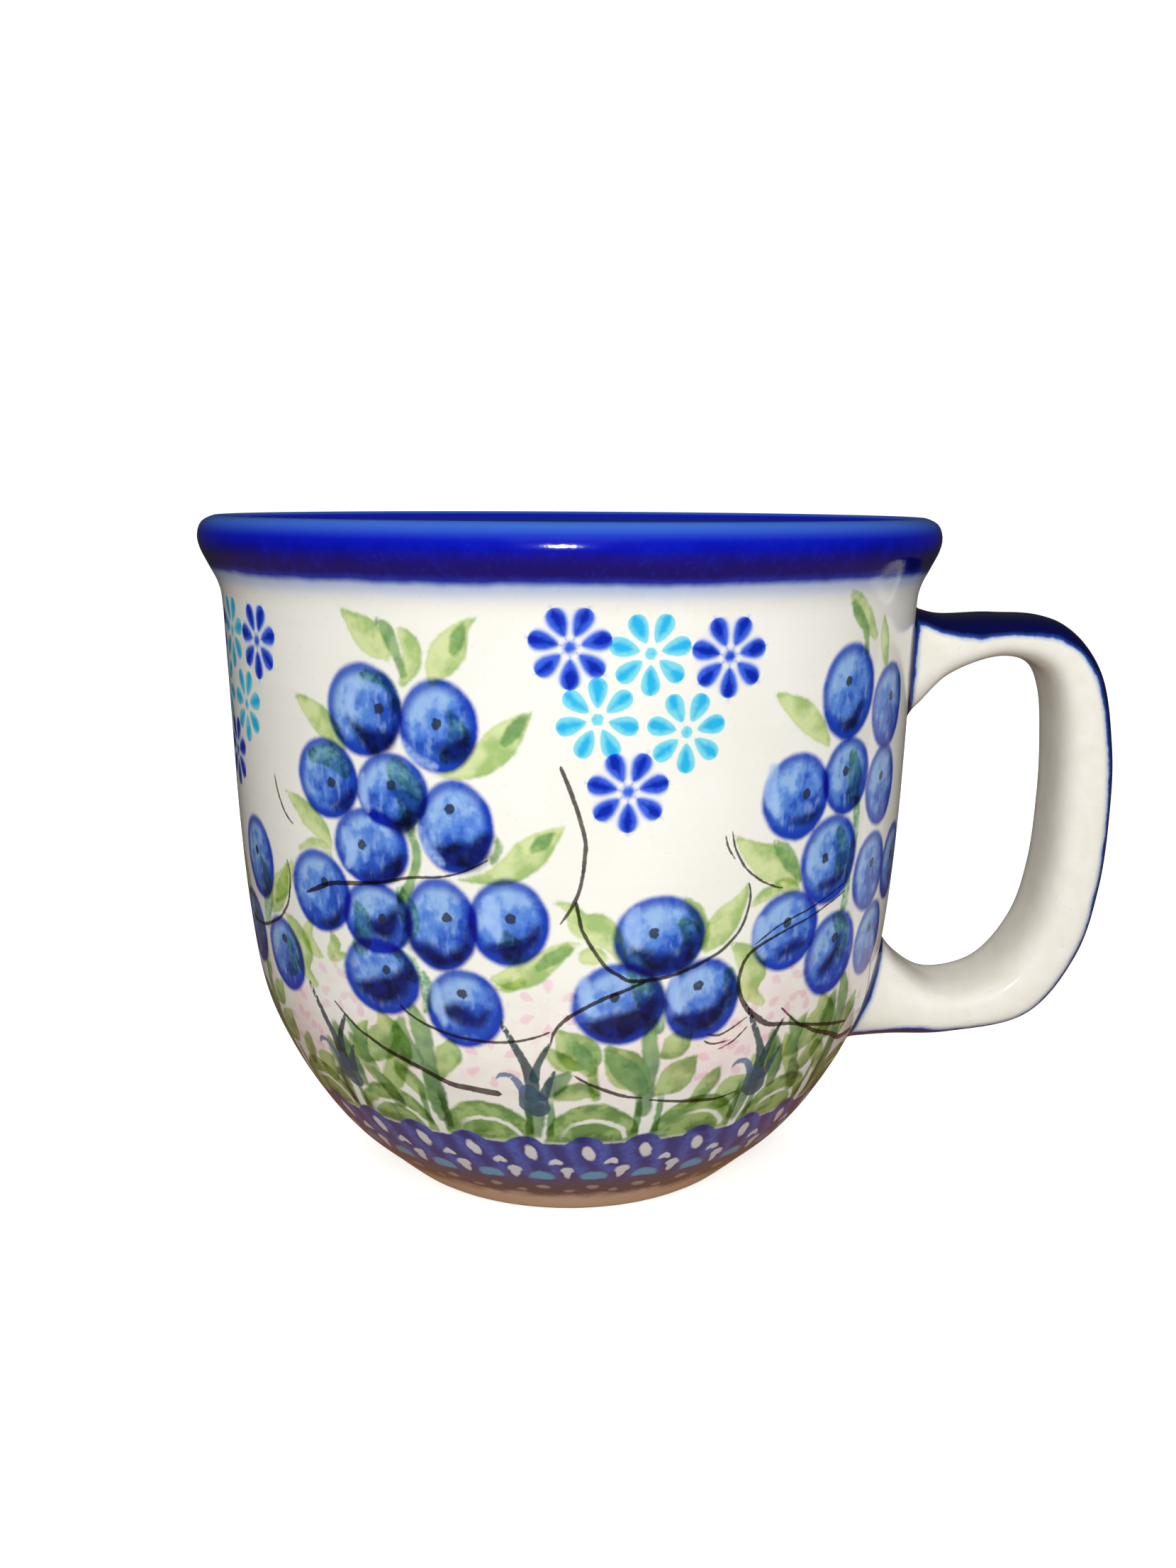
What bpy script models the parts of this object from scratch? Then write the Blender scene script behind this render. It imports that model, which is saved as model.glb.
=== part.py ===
"""A round-bottomed stoneware mug: one turned cup, one pulled strap handle, two pads of joining slip.

Metres, +Z up. The cup stands on its foot ring at Z = 0 and the handle points along +X. The origin
is the middle of the whole object's footprint, so the cup's own axis sits to the left of it.
"""

import math

import bmesh
import bpy

MM = 0.001

# Driving dimensions, millimetres
RIM_RADIUS = 52.0        # widest point of the rolled rim
MUG_HEIGHT = 94.4        # table to the top of the rim
HANDLE_REACH = 78.0      # cup axis to the outermost point of the handle
CUP_X = -(HANDLE_REACH - RIM_RADIUS) / 2.0   # centres the footprint on the origin
GAP = 0.3                # clearance between two touching pieces
SLIP_THICKNESS = 1.0     # clay slip squeezed between the handle and the wall
CUP_STEPS = 72           # facets around the turned cup
WALL_STEPS = 2           # straight pieces between two neighbouring wall points
STRAP_STEPS = 2          # straight pieces between two neighbouring handle sections
STRAP_POINTS = 24        # points around one handle section
STRAP_SQUARENESS = 3.0   # 2 is an ellipse, higher is squarer

# A smooth curve runs through each of these short lists: radius and height from the cup's axis.
# Outside of the cup, from the top of the rim down to the foot ring
WALL_OUTSIDE = [
    (49.8, MUG_HEIGHT), (RIM_RADIUS, 92.4), (51.3, 89.6), (49.6, 85.6), (49.0, 82.0), (48.4, 70.0),
    (47.6, 52.0), (46.4, 38.0), (44.7, 28.0), (41.5, 20.0), (37.4, 13.0), (33.5, 8.0), (29.2, 4.0),
    (25.8, 1.0), (24.3, 0.0),
]
# Inside of the cup, from the middle of the floor up to the rim
WALL_INSIDE = [
    (0.0, 6.7), (12.0, 6.9), (22.8, 8.5), (29.4, 12.2), (34.6, 17.7), (38.6, 24.4), (41.3, 33.0),
    (42.9, 45.0), (43.9, 61.0), (44.9, 77.0), (45.7, 86.0), (46.8, 91.3), (48.2, 93.8),
]
# Foot ring and the shallow recess under the cup, ending on the axis
FOOT_AND_RECESS = [(21.3, 0.0), (20.5, 0.4), (19.8, 1.5), (18.0, 2.0), (0.0, 2.3)]

# Handle sections from the upper root round to the lower root, with a smooth curve through them:
# outer edge x and z, inner edge x and z (from the cup axis), and the width of the strap
HANDLE_SECTIONS = [
    (43.0, 82.2, 43.0, 64.0, 20.4), (48.6, 81.8, 48.3, 66.8, 19.6), (53.5, 80.7, 53.6, 72.2, 17.9),
    (61.4, 80.9, 60.9, 75.0, 17.4), (69.6, 79.9, 66.7, 73.5, 17.4), (75.4, 73.3, 68.9, 69.2, 17.4),
    (77.7, 62.6, 69.6, 61.4, 17.4), (HANDLE_REACH, 53.0, 69.6, 53.0, 17.4),
    (77.2, 42.0, 68.8, 43.4, 17.4), (74.4, 31.4, 66.5, 35.2, 17.4), (67.6, 22.4, 61.4, 28.7, 17.4),
    (56.0, 19.5, 54.4, 26.8, 17.5), (47.0, 19.0, 49.0, 29.8, 18.6), (40.0, 18.2, 44.4, 35.6, 20.0),
    (35.0, 18.0, 40.5, 37.6, 20.4),
]
# Heights between which the cutters for the two roots reach
CUTTER_HEIGHTS = (7.0, 88.0)
UPPER_ROOT_HEIGHTS = (55.0, 88.0)
LOWER_ROOT_HEIGHTS = (9.0, 45.0)


def clear_scene():
    """Take out whatever the start-up file holds."""
    for obj in list(bpy.data.objects):
        bpy.data.objects.remove(obj, do_unlink=True)


def new_collection(name):
    """A collection linked to the scene."""
    collection = bpy.data.collections.new(name)
    bpy.context.scene.collection.children.link(collection)
    return collection


def glaze(name, colour, roughness):
    """One plain shiny ceramic material."""
    material = bpy.data.materials.new(name)
    material.use_nodes = True
    shader = material.node_tree.nodes["Principled BSDF"]
    shader.inputs["Base Color"].default_value = (*colour, 1.0)
    shader.inputs["Roughness"].default_value = roughness
    shader.inputs["Metallic"].default_value = 0.0
    return material


def add_object(name, mesh, collection, material=None):
    """Put a mesh in the scene under its own name."""
    obj = bpy.data.objects.new(name, mesh)
    collection.objects.link(obj)
    if material is not None:
        mesh.materials.append(material)
    return obj


def smooth_line(knots, steps):
    """A smooth curve through rows of numbers, with each span cut into equal steps."""
    rows = [knots[0]] + list(knots) + [knots[-1]]
    line = []
    for before, start, end, after in zip(rows, rows[1:], rows[2:], rows[3:]):
        for k in range(steps):
            t = k / steps
            row = []
            for p, q, r, s in zip(before, start, end, after):
                bend = (2.0 * p - 5.0 * q + 4.0 * r - s) * t * t + (3.0 * q - p - 3.0 * r + s) * t ** 3
                row.append(q + 0.5 * ((r - p) * t + bend))
            line.append(tuple(row))
    line.append(tuple(knots[-1]))
    return line


def turned(name, profile, collection, material=None):
    """Spin a line of (radius, height) points around the cup's axis."""
    mesh = bpy.data.meshes.new(name)
    points = [(radius * MM, 0.0, height * MM) for radius, height in profile]
    edges = [(i, i + 1) for i in range(len(points) - 1)]
    if profile[0][0] > 0.0:
        edges.append((len(points) - 1, 0))
    mesh.from_pydata(points, edges, [])
    obj = add_object(name, mesh, collection, material)
    obj.location.x = CUP_X * MM
    screw = obj.modifiers.new("turn", "SCREW")
    screw.axis = "Z"
    screw.steps = CUP_STEPS
    screw.render_steps = CUP_STEPS
    screw.use_merge_vertices = True
    screw.merge_threshold = 0.00001
    return obj


def offset_wall(distance, low, high):
    """The outside of the cup pushed out by a distance, kept between two heights."""
    wall = smooth_line(WALL_OUTSIDE, WALL_STEPS)
    line = []
    for i, (radius, height) in enumerate(wall):
        before = wall[max(i - 1, 0)]
        after = wall[min(i + 1, len(wall) - 1)]
        run = after[0] - before[0]
        drop = before[1] - after[1]
        length = math.hypot(run, drop)
        line.append((radius + distance * drop / length, height + distance * run / length))
    return [point for point in line if low < point[1] < high]


def strap_section(section):
    """The points around one rounded strap section, in metres."""
    outer_x, outer_z, inner_x, inner_z, width = section
    centre_x = (outer_x + inner_x) / 2.0
    centre_z = (outer_z + inner_z) / 2.0
    points = []
    for k in range(STRAP_POINTS):
        angle = 2.0 * math.pi * (k + 0.5) / STRAP_POINTS
        power = 2.0 / STRAP_SQUARENESS
        across = math.copysign(abs(math.sin(angle)) ** power, math.sin(angle))
        through = math.copysign(abs(math.cos(angle)) ** power, math.cos(angle))
        x = centre_x + through * (outer_x - inner_x) / 2.0
        z = centre_z + through * (outer_z - inner_z) / 2.0
        points.append(((CUP_X + x) * MM, across * width / 2.0 * MM, z * MM))
    return points


def strap(name, collection, material=None):
    """The whole handle lofted through its sections, with both ends buried in the wall."""
    mesh = bpy.data.meshes.new(name)
    bm = bmesh.new()
    rings = []
    for section in smooth_line(HANDLE_SECTIONS, STRAP_STEPS):
        rings.append([bm.verts.new(point) for point in strap_section(section)])
    for ring, following in zip(rings, rings[1:]):
        for k in range(STRAP_POINTS):
            j = (k + 1) % STRAP_POINTS
            bm.faces.new((ring[k], ring[j], following[j], following[k]))
    bm.faces.new(rings[0])
    bm.faces.new(rings[-1])
    bmesh.ops.recalc_face_normals(bm, faces=bm.faces)
    bm.to_mesh(mesh)
    bm.free()
    return add_object(name, mesh, collection, material)


def boolean(obj, cutter, operation):
    """Cut or keep with an exact Boolean."""
    cut = obj.modifiers.new(operation.lower() + " " + cutter.name, "BOOLEAN")
    cut.operation = operation
    cut.solver = "EXACT"
    cut.object = cutter


def ring_band(name, inner, outer, heights, collection):
    """A turned band that hugs the wall between two offsets and two heights."""
    low, high = heights
    down = offset_wall(outer, low, high)
    up = list(reversed(offset_wall(inner, low, high)))
    return turned(name, down + up, collection)


def smooth(obj):
    """Smooth shading with the crisp edges kept crisp."""
    for polygon in obj.data.polygons:
        polygon.use_smooth = True
    obj.data.set_sharp_from_angle(angle=math.radians(40.0))


def build():
    """Turn the cup, loft the handle and cut both roots to the wall."""
    clear_scene()
    mug = new_collection("stoneware_mug")
    cutters = new_collection("cutters")
    painted = glaze("painted_glaze", (0.62, 0.64, 0.66), 0.12)
    white = glaze("white_glaze", (0.80, 0.77, 0.71), 0.15)
    cobalt = glaze("cobalt_slip", (0.02, 0.03, 0.30), 0.25)

    walls = smooth_line(WALL_INSIDE + WALL_OUTSIDE, WALL_STEPS)
    turned("mug_body", walls + FOOT_AND_RECESS, mug, painted)

    wall_and_slip = offset_wall(2.0 * GAP + SLIP_THICKNESS, *CUTTER_HEIGHTS)
    ends = (0.0, CUTTER_HEIGHTS[1]), (0.0, CUTTER_HEIGHTS[0])
    wall_cutter = turned("wall_cutter", [ends[0]] + wall_and_slip + [ends[1]], cutters)
    handle = strap("handle", mug, white)
    boolean(handle, wall_cutter, "DIFFERENCE")

    for name, heights in (("upper", UPPER_ROOT_HEIGHTS), ("lower", LOWER_ROOT_HEIGHTS)):
        band = ring_band(name + "_band", GAP, GAP + SLIP_THICKNESS, heights, cutters)
        slip = strap(name + "_handle_slip", mug, cobalt)
        boolean(slip, band, "INTERSECT")

    for obj in mug.objects:
        smooth(obj)
    for cutter in cutters.objects:
        cutter.hide_render = True
        cutter.display_type = "WIRE"


build()
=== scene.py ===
# %% [markdown]
# # A hand-painted stoneware mug
# The mug is a round-bottomed cup of cream stoneware with a rolled lip dipped in cobalt, a band of scales
# round its foot, and berries, leaves and small flowers stamped and brushed under a clear glaze. The CAD
# frame gives its size and place. Here each part gets a finer mesh and a finish built from shader nodes.

# %% The frame and its sizes
import math

import bpy
import numpy as np
from mathutils import Matrix, Vector


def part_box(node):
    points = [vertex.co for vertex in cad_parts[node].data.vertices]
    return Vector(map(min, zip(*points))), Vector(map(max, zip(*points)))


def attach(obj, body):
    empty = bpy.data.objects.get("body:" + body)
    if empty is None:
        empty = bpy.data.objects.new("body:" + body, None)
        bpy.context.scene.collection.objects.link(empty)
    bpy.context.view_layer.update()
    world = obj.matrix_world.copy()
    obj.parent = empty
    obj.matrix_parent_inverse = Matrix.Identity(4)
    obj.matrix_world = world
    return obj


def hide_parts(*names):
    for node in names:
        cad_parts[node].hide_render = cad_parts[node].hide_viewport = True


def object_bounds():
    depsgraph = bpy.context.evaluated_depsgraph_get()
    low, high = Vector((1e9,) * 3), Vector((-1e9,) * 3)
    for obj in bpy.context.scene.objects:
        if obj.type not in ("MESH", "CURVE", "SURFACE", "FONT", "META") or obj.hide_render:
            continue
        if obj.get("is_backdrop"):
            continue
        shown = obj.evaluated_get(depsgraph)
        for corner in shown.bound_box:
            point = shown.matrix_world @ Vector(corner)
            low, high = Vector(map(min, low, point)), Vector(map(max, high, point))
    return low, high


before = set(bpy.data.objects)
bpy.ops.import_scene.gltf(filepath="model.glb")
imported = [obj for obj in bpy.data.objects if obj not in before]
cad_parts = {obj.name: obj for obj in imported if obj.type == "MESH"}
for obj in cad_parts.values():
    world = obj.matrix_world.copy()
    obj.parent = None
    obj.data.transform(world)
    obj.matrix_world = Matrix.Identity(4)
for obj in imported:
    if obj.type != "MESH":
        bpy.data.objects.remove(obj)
cad_low, cad_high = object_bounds()
cup_low, cup_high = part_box("mug_body")
handle_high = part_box("handle")[1]

MM = 0.001
cup_x = (cup_low.x + cup_high.x) / 2.0
mug_height = cup_high.z / MM
rim_radius = (cup_high.x - cup_low.x) / 2.0 / MM
handle_reach = (handle_high.x - cup_x) / MM
print("nodes:", sorted(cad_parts))
print("height %.1f, rim radius %.1f, handle reach %.1f mm" % (mug_height, rim_radius, handle_reach))

# %% [markdown]
# ## Camera and light
# The mug is seen from the front, a little above the rim, from close by, so the round of the lip shows as
# a flat ellipse. A wide soft light stands in front and above, and a weaker one behind lights the back.
# A small bright lamp near the camera gives glossy glaze its sharp highlights. The sweep under and round
# the mug is pale and glows a little, as studio paper does in a light tent. Glaze mirrors what stands
# around it: the sweep and the wide lights are hidden from reflections, so the sides of the mug mirror
# a dim warm room instead, which comes further on.

# %% The camera: its lens and turns in mm and degrees, and its place by the mug's axis and top
LENS = 35.81
TURNED_LEFT, LOOKING_DOWN, LEANING = 0.99, 10.56, 0.31
RIGHT_OF_AXIS, IN_FRONT, OVER_TOP = 6.57, 226.1, 3.1
camera_data = bpy.data.cameras.new("camera")
camera_data.sensor_width = 36.0
camera_data.lens = LENS
camera_data.clip_start = 0.01
camera = bpy.data.objects.new("camera", camera_data)
bpy.context.scene.collection.objects.link(camera)
turn = Matrix.Rotation(math.radians(TURNED_LEFT), 4, "Z")
tilt = Matrix.Rotation(math.radians(90.0 - LOOKING_DOWN), 4, "X")
roll = Matrix.Rotation(math.radians(LEANING), 4, "Z")
place = Matrix.Translation((cup_x + RIGHT_OF_AXIS * MM, -IN_FRONT * MM, cad_high.z + OVER_TOP * MM))
camera.matrix_world = place @ turn @ tilt @ roll
bpy.context.scene.camera = camera
bpy.context.scene.view_settings.view_transform = "Standard"
print("camera at", [round(c, 4) for c in camera.matrix_world.translation])


# %% Lights
def lamp(name, place, power, width, height):
    """A soft oval light that faces the middle of the mug: place and size in metres, power in watts."""
    data = bpy.data.lights.new(name, "AREA")
    data.shape = "ELLIPSE"
    data.size = width
    data.size_y = height
    data.energy = power
    made = bpy.data.objects.new(name, data)
    bpy.context.scene.collection.objects.link(made)
    made.location = place
    made.rotation_euler = (MIDDLE - Vector(place)).to_track_quat("-Z", "Y").to_euler()
    return made


MIDDLE = Vector((cup_x, 0.0, 0.045))
lamp("front_softbox", (cup_x + 0.02, -0.62, 0.34), 2.2, 0.44, 0.34).visible_glossy = False
lamp("back_softbox", (cup_x - 0.06, 0.62, 0.30), 1.5, 0.36, 0.30).visible_glossy = False
lamp("small_bright_lamp", (cup_x - 0.003, -0.232, 0.103), 0.090, 0.026, 0.026)

# %% [markdown]
# ## Wires that add up
# A finish here is arithmetic on masks: how far a point is from a stroke, whether it is in the ring of a
# berry, how much pigment pooled there. Written as Python, `1 - mask` is easy to read, so one small class
# wraps the output of a node and lets the arithmetic operators add Math nodes. Every other node comes
# from one method that takes the node's type, its settings and its sockets, and one method covers a
# piece with a finish, through the shader that turns colour, gloss and relief into a surface.


# %% The wrapper, the tree it belongs to, and the finish of a piece
class Wire:
    """A node's output. Sums, differences, products, quotients and powers of wires add Math nodes."""

    def __init__(self, finish, socket):
        self.finish = finish
        self.socket = socket

    def math(self, operation, first, second):
        return self.finish.node("ShaderNodeMath", {"operation": operation}, {0: first, 1: second})

    def __add__(self, other):
        return self.math("ADD", self, other)

    def __radd__(self, other):
        return self.math("ADD", other, self)

    def __sub__(self, other):
        return self.math("SUBTRACT", self, other)

    def __rsub__(self, other):
        return self.math("SUBTRACT", other, self)

    def __mul__(self, other):
        return self.math("MULTIPLY", self, other)

    def __rmul__(self, other):
        return self.math("MULTIPLY", other, self)

    def __truediv__(self, other):
        return self.math("DIVIDE", self, other)

    def __rtruediv__(self, other):
        return self.math("DIVIDE", other, self)

    def __pow__(self, other):
        return self.math("POWER", self, other)

    def __rpow__(self, other):
        return self.math("POWER", other, self)

    def __abs__(self):
        return self.math("ABSOLUTE", self, 0.0)


class Nodes:
    """The empty node tree of a material or a world, with one method that adds nodes to it."""

    def __init__(self, owner):
        owner.use_nodes = True
        self.tree = owner.node_tree
        self.tree.nodes.clear()

    def node(self, kind, settings=None, sockets=None, output=0):
        made = self.tree.nodes.new(kind)
        for name, value in (settings or {}).items():
            setattr(made, name, value)
        for key, value in (sockets or {}).items():
            if isinstance(value, Wire):
                self.tree.links.new(value.socket, made.inputs[key])
            else:
                made.inputs[key].default_value = value
        return None if output is None else Wire(self, made.outputs[output])


class Finish(Nodes):
    """A material, built from the relief, colour and gloss of one of the mug's surfaces."""

    def __init__(self, name):
        self.material = bpy.data.materials.new(name)
        super().__init__(self.material)

    def relief(self, height, strength, depth):
        """A bumpy surface from a height that varies. The depth of the bumps is in mm."""
        sockets = {"Strength": strength, "Distance": depth * MM, "Height": height}
        return self.node("ShaderNodeBump", None, sockets, "Normal")

    def cover(self, made, sockets):
        """Closes the finish with a Principled shader that has these sockets and puts it on a piece."""
        surface = self.node("ShaderNodeBsdfPrincipled", None, sockets)
        self.node("ShaderNodeOutputMaterial", None, {"Surface": surface}, None)
        made.data.materials.append(self.material)
        print(self.material.name, "has", len(self.tree.nodes), "nodes")


# %% Shorthands for what the finishes do often
def step_up(value, start, end):
    """Nought below start, one above end, with a soft change between. Start may be the higher."""
    sockets = {"Value": value, "From Min": start, "From Max": end}
    return value.finish.node("ShaderNodeMapRange", {"interpolation_type": "SMOOTHSTEP"}, sockets)


def larger(first, second):
    return first.math("MAXIMUM", first, second)


def smaller(first, second):
    return first.math("MINIMUM", first, second)


def blend(mask, under, over):
    """The colour over laid on the colour under where the mask is one."""
    settings = {"data_type": "RGBA", "blend_type": "MIX"}
    return mask.finish.node("ShaderNodeMix", settings, {0: mask, 6: under, 7: over}, 2)


def stain(mask, under, pigment):
    """A see-through pigment over a colour: the two multiply, as coloured glass does."""
    settings = {"data_type": "RGBA", "blend_type": "MULTIPLY"}
    return mask.finish.node("ShaderNodeMix", settings, {0: mask, 6: under, 7: pigment}, 2)


def parts(vector):
    """The three numbers of a vector."""
    finish = vector.finish
    return [finish.node("ShaderNodeSeparateXYZ", None, {0: vector}, k) for k in range(3)]


def stencil(finish, name):
    """The vector that was stored on the mesh under this name."""
    settings = {"attribute_type": "GEOMETRY", "attribute_name": name}
    return finish.node("ShaderNodeAttribute", settings, None, "Vector")


def grain(finish, place, size, detail=2.0):
    """Soft noise between nought and one, with spots of about the given size in mm."""
    sockets = {"Vector": place, "Scale": 1.0 / size, "Detail": detail}
    return finish.node("ShaderNodeTexNoise", None, sockets)


def turning_marks(finish, height, scale, detail):
    """Soft noise that changes only with height, as the rings do that fingers leave on a thrown cup."""
    sockets = {"W": height, "Scale": scale, "Detail": detail}
    return finish.node("ShaderNodeTexNoise", {"noise_dimensions": "1D"}, sockets)


def from_whole(number):
    """How far a number is from the nearest whole one, which repeats a pattern evenly."""
    return number - number.math("ROUND", number, 0.0)


def hue(red, green, blue):
    """A colour given in the 0 to 255 of a paint program, as the linear light a shader works in."""
    scaled = [c / 255.0 for c in (red, green, blue)]
    linear = [c / 12.92 if c < 0.04045 else ((c + 0.055) / 1.055) ** 2.4 for c in scaled]
    return (linear[0], linear[1], linear[2], 1.0)


CREAM = hue(238, 236, 227)


def wash(red, green, blue):
    """The pigment that turns bare cream into this colour."""
    target = hue(red, green, blue)
    return tuple(min(1.0, t / c) for t, c in zip(target, CREAM))


def in_mm(finish):
    """Where a point of the piece is, in mm from the middle of the foot."""
    here = finish.node("ShaderNodeTexCoord", None, None, "Object")
    settings = {"operation": "MULTIPLY_ADD"}
    sockets = {0: here, 1: (1.0 / MM,) * 3, 2: (-cup_x / MM, 0.0, 0.0)}
    return finish.node("ShaderNodeVectorMath", settings, sockets)


# %% [markdown]
# ## The room
# A world's colour can depend on the direction it is seen in, and on whether a mirroring surface sees it.
# Matt surfaces get a soft fill that is brightest in front and above. Mirroring ones get a dim room, with
# a warm glow low down that tints the foot of the mug as a wooden table would.

# %% The room: a direction, where along it the colour changes, and the colour at both ends
world = bpy.data.worlds.new("dim_warm_room")
bpy.context.scene.world = world
room = Nodes(world)
towards = room.node("ShaderNodeTexCoord", None, None, "Generated")


def fading(axis, start, end, low, high):
    """A colour of the room that fades from low to high along a direction."""
    facing = room.node("ShaderNodeVectorMath", {"operation": "DOT_PRODUCT"}, {0: towards, 1: axis}, "Value")
    return blend(step_up(facing, start, end), (*low, 1.0), (*high, 1.0))


soft_fill = fading((0.1, -0.75, 0.65), -0.75, 0.9, (0.12, 0.10, 0.085), (0.66, 0.66, 0.65))
mirrored = fading((0.0, 0.0, 1.0), -0.80, -0.10, (0.34, 0.16, 0.075), (0.030, 0.028, 0.028))
is_mirrored = room.node("ShaderNodeLightPath", None, None, "Is Glossy Ray")
sky = room.node("ShaderNodeBackground", None, {"Color": blend(is_mirrored, soft_fill, mirrored)})
room.node("ShaderNodeOutputWorld", None, {"Surface": sky}, None)
print("room built from", len(room.tree.nodes), "nodes")

# %% [markdown]
# ## The shape of the cup
# A thrown cup is a shape turned on an axis, so one outline drawn from foot to lip and down the inside
# makes all of it. A few points are enough: a smooth line is passed through them and cut into even steps.
# The steps on the painted side are small, because the mesh itself carries the drawing's stencils.

# %% Outlines, as radius and height in mm
WALL_OUTSIDE = [(24.3, 0.0), (25.8, 1.0), (29.2, 4.0), (33.5, 8.0), (37.4, 13.0), (41.5, 20.0), (44.7, 28.0),
                (46.4, 38.0), (47.6, 52.0), (48.4, 70.0), (48.9, 82.0), (49.4, 85.2), (50.6, 87.7),
                (51.7, 90.0), (rim_radius, 91.8), (51.4, 93.5), (49.8, mug_height)]
WALL_INSIDE = [(49.8, mug_height), (48.2, 93.8), (46.8, 91.3), (45.7, 86.0), (44.9, 77.0), (43.9, 61.0),
               (42.9, 45.0), (41.3, 33.0), (38.6, 24.4), (34.6, 17.7), (29.4, 12.2), (22.8, 8.5),
               (12.0, 6.9), (0.0, 6.7)]
FOOT_AND_RECESS = [(24.3, 0.0), (21.3, 0.0), (20.5, 0.4), (19.8, 1.5), (18.0, 2.0), (0.0, 2.3)]


def smooth_line(knots, steps):
    """A smooth line through every row of numbers, with the given steps between two rows."""
    rows = [knots[0]] + list(knots) + [knots[-1]]
    line = []
    for before, start, end, after in zip(rows, rows[1:], rows[2:], rows[3:]):
        for k in range(steps):
            t = k / steps
            row = []
            for p, q, r, s in zip(before, start, end, after):
                bend = (2.0 * p - 5.0 * q + 4.0 * r - s) * t * t + (3.0 * q - p - 3.0 * r + s) * t ** 3
                row.append(q + 0.5 * ((r - p) * t + bend))
            line.append(tuple(row))
    line.append(tuple(knots[-1]))
    return np.array(line)


def lengths(line):
    """How far along a line each of its points lies."""
    return np.concatenate([[0.0], np.cumsum(np.linalg.norm(np.diff(line, axis=0), axis=1))])


def evenly(line, step):
    """The same line cut into equal steps of about the given length."""
    along = lengths(line)
    wanted = np.linspace(0.0, along[-1], max(2, round(along[-1] / step)) + 1)
    return np.stack([np.interp(wanted, along, column) for column in line.T], axis=1)


outside = smooth_line(WALL_OUTSIDE, 16)
inside = smooth_line(WALL_INSIDE, 16)
climb_outside = lengths(outside)
print("outside line %.1f mm, inside line %.1f mm" % (climb_outside[-1], lengths(inside)[-1]))


def wall_radius(z):
    """The outer radius of the wall at a height. The last points curl over the lip and are left out."""
    return np.interp(z, outside[:-8, 1], outside[:-8, 0])


# %% Turning a line into a mesh
def piece(name, points, faces):
    """A smooth mesh object from points in mm about the cup's axis."""
    mesh = bpy.data.meshes.new(name)
    place = np.array(points) * MM + np.array([cup_x, 0.0, 0.0])
    mesh.from_pydata(place.tolist(), [], faces)
    mesh.polygons.foreach_set("use_smooth", np.ones(len(mesh.polygons), bool))
    mesh.update()
    made = bpy.data.objects.new(name, mesh)
    bpy.context.scene.collection.objects.link(made)
    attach(made, "root")
    return made


def turned(name, line, around):
    """A line of radius and height turned once about the cup's axis. Angle 0 faces the front."""
    angles = np.linspace(-math.pi, math.pi, around, endpoint=False)
    radius, height = line[:, :1], line[:, 1:]
    grid = np.stack([radius * np.sin(angles), -radius * np.cos(angles), np.tile(height, around)], axis=2)
    faces = []
    for i in range(len(line) - 1):
        for j in range(around):
            k = (j + 1) % around
            faces.append((i * around + j, i * around + k, (i + 1) * around + k, (i + 1) * around + j))
    made = piece(name, grid.reshape(-1, 3), faces)
    print(name, "has", len(faces), "faces")
    return made


# %% The painted wall, from the foot over the lip and a little way down the inside
GLAZE_LINE = 0.7
PAINT_INSIDE = 9.0
AROUND = 500
WALL_STEP = 0.62
above_foot = outside[outside[:, 1] >= GLAZE_LINE]
down_inside = inside[lengths(inside) <= PAINT_INSIDE]
painted_line = evenly(np.concatenate([above_foot, down_inside[1:]]), WALL_STEP)
painted_wall = turned("painted_wall", painted_line, AROUND)
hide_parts("mug_body")

# %% The plain inside and the bare foot, each closed but for a pinhole on the axis
PINHOLE = 0.05
INSIDE_STEP, FOOT_STEP = 1.6, 0.6
rest_of_inside = evenly(inside[lengths(inside) >= lengths(inside)[len(down_inside) - 1]], INSIDE_STEP)
rest_of_inside[-1, 0] = PINHOLE
cup_inside = turned("cup_inside", rest_of_inside, 160)
foot_line = evenly(np.concatenate([painted_line[:1], smooth_line(FOOT_AND_RECESS, 6)]), FOOT_STEP)
foot_line[:, 1] = np.maximum(foot_line[:, 1], 0.0)
foot_line[-1, 0] = PINHOLE
foot = turned("bare_foot", foot_line[::-1], 160)
for made in (cup_inside, foot):
    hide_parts("mug_body")

# %% [markdown]
# ## Laying out the painting
# The painting wraps a curved wall, so a flat picture would stretch. Each stamp and stroke is instead
# given its place as an angle round the cup in degrees (0 in front, growing to the right) and a height in
# mm. For every point of the mesh near it, the script works out where that point lies within the stamp,
# in mm or in radii, and stores that on the mesh. The material reads those numbers and draws the stamp
# from them, so its edges stay as sharp as the shader makes them and follow the round of the cup.
# Stamps that overlap go on separate layers, because a point holds one set of numbers per layer.

# %% Where every point of the wall lies
angles = np.linspace(-math.pi, math.pi, AROUND, endpoint=False)
climb = lengths(painted_line) + np.interp(GLAZE_LINE, outside[:, 1], climb_outside)
top_climb = climb_outside[-1]
point_angle = np.tile(angles, len(painted_line))
point_climb = np.repeat(climb, AROUND)
point_radius = np.repeat(painted_line[:, 0], AROUND)
print(len(point_angle), "points to paint on, lip at a climb of %.1f mm" % top_climb)


def climb_of(height):
    """How far up the wall a height in mm is, measured along the wall from the foot."""
    return np.interp(height, outside[:, 1], climb_outside)


def across_from(angle, rows):
    """How many mm to the right of an angle in degrees these points lie, along the wall."""
    gap = (point_angle[rows] - math.radians(angle) + math.pi) % (2.0 * math.pi) - math.pi
    return gap * point_radius[rows]


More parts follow.
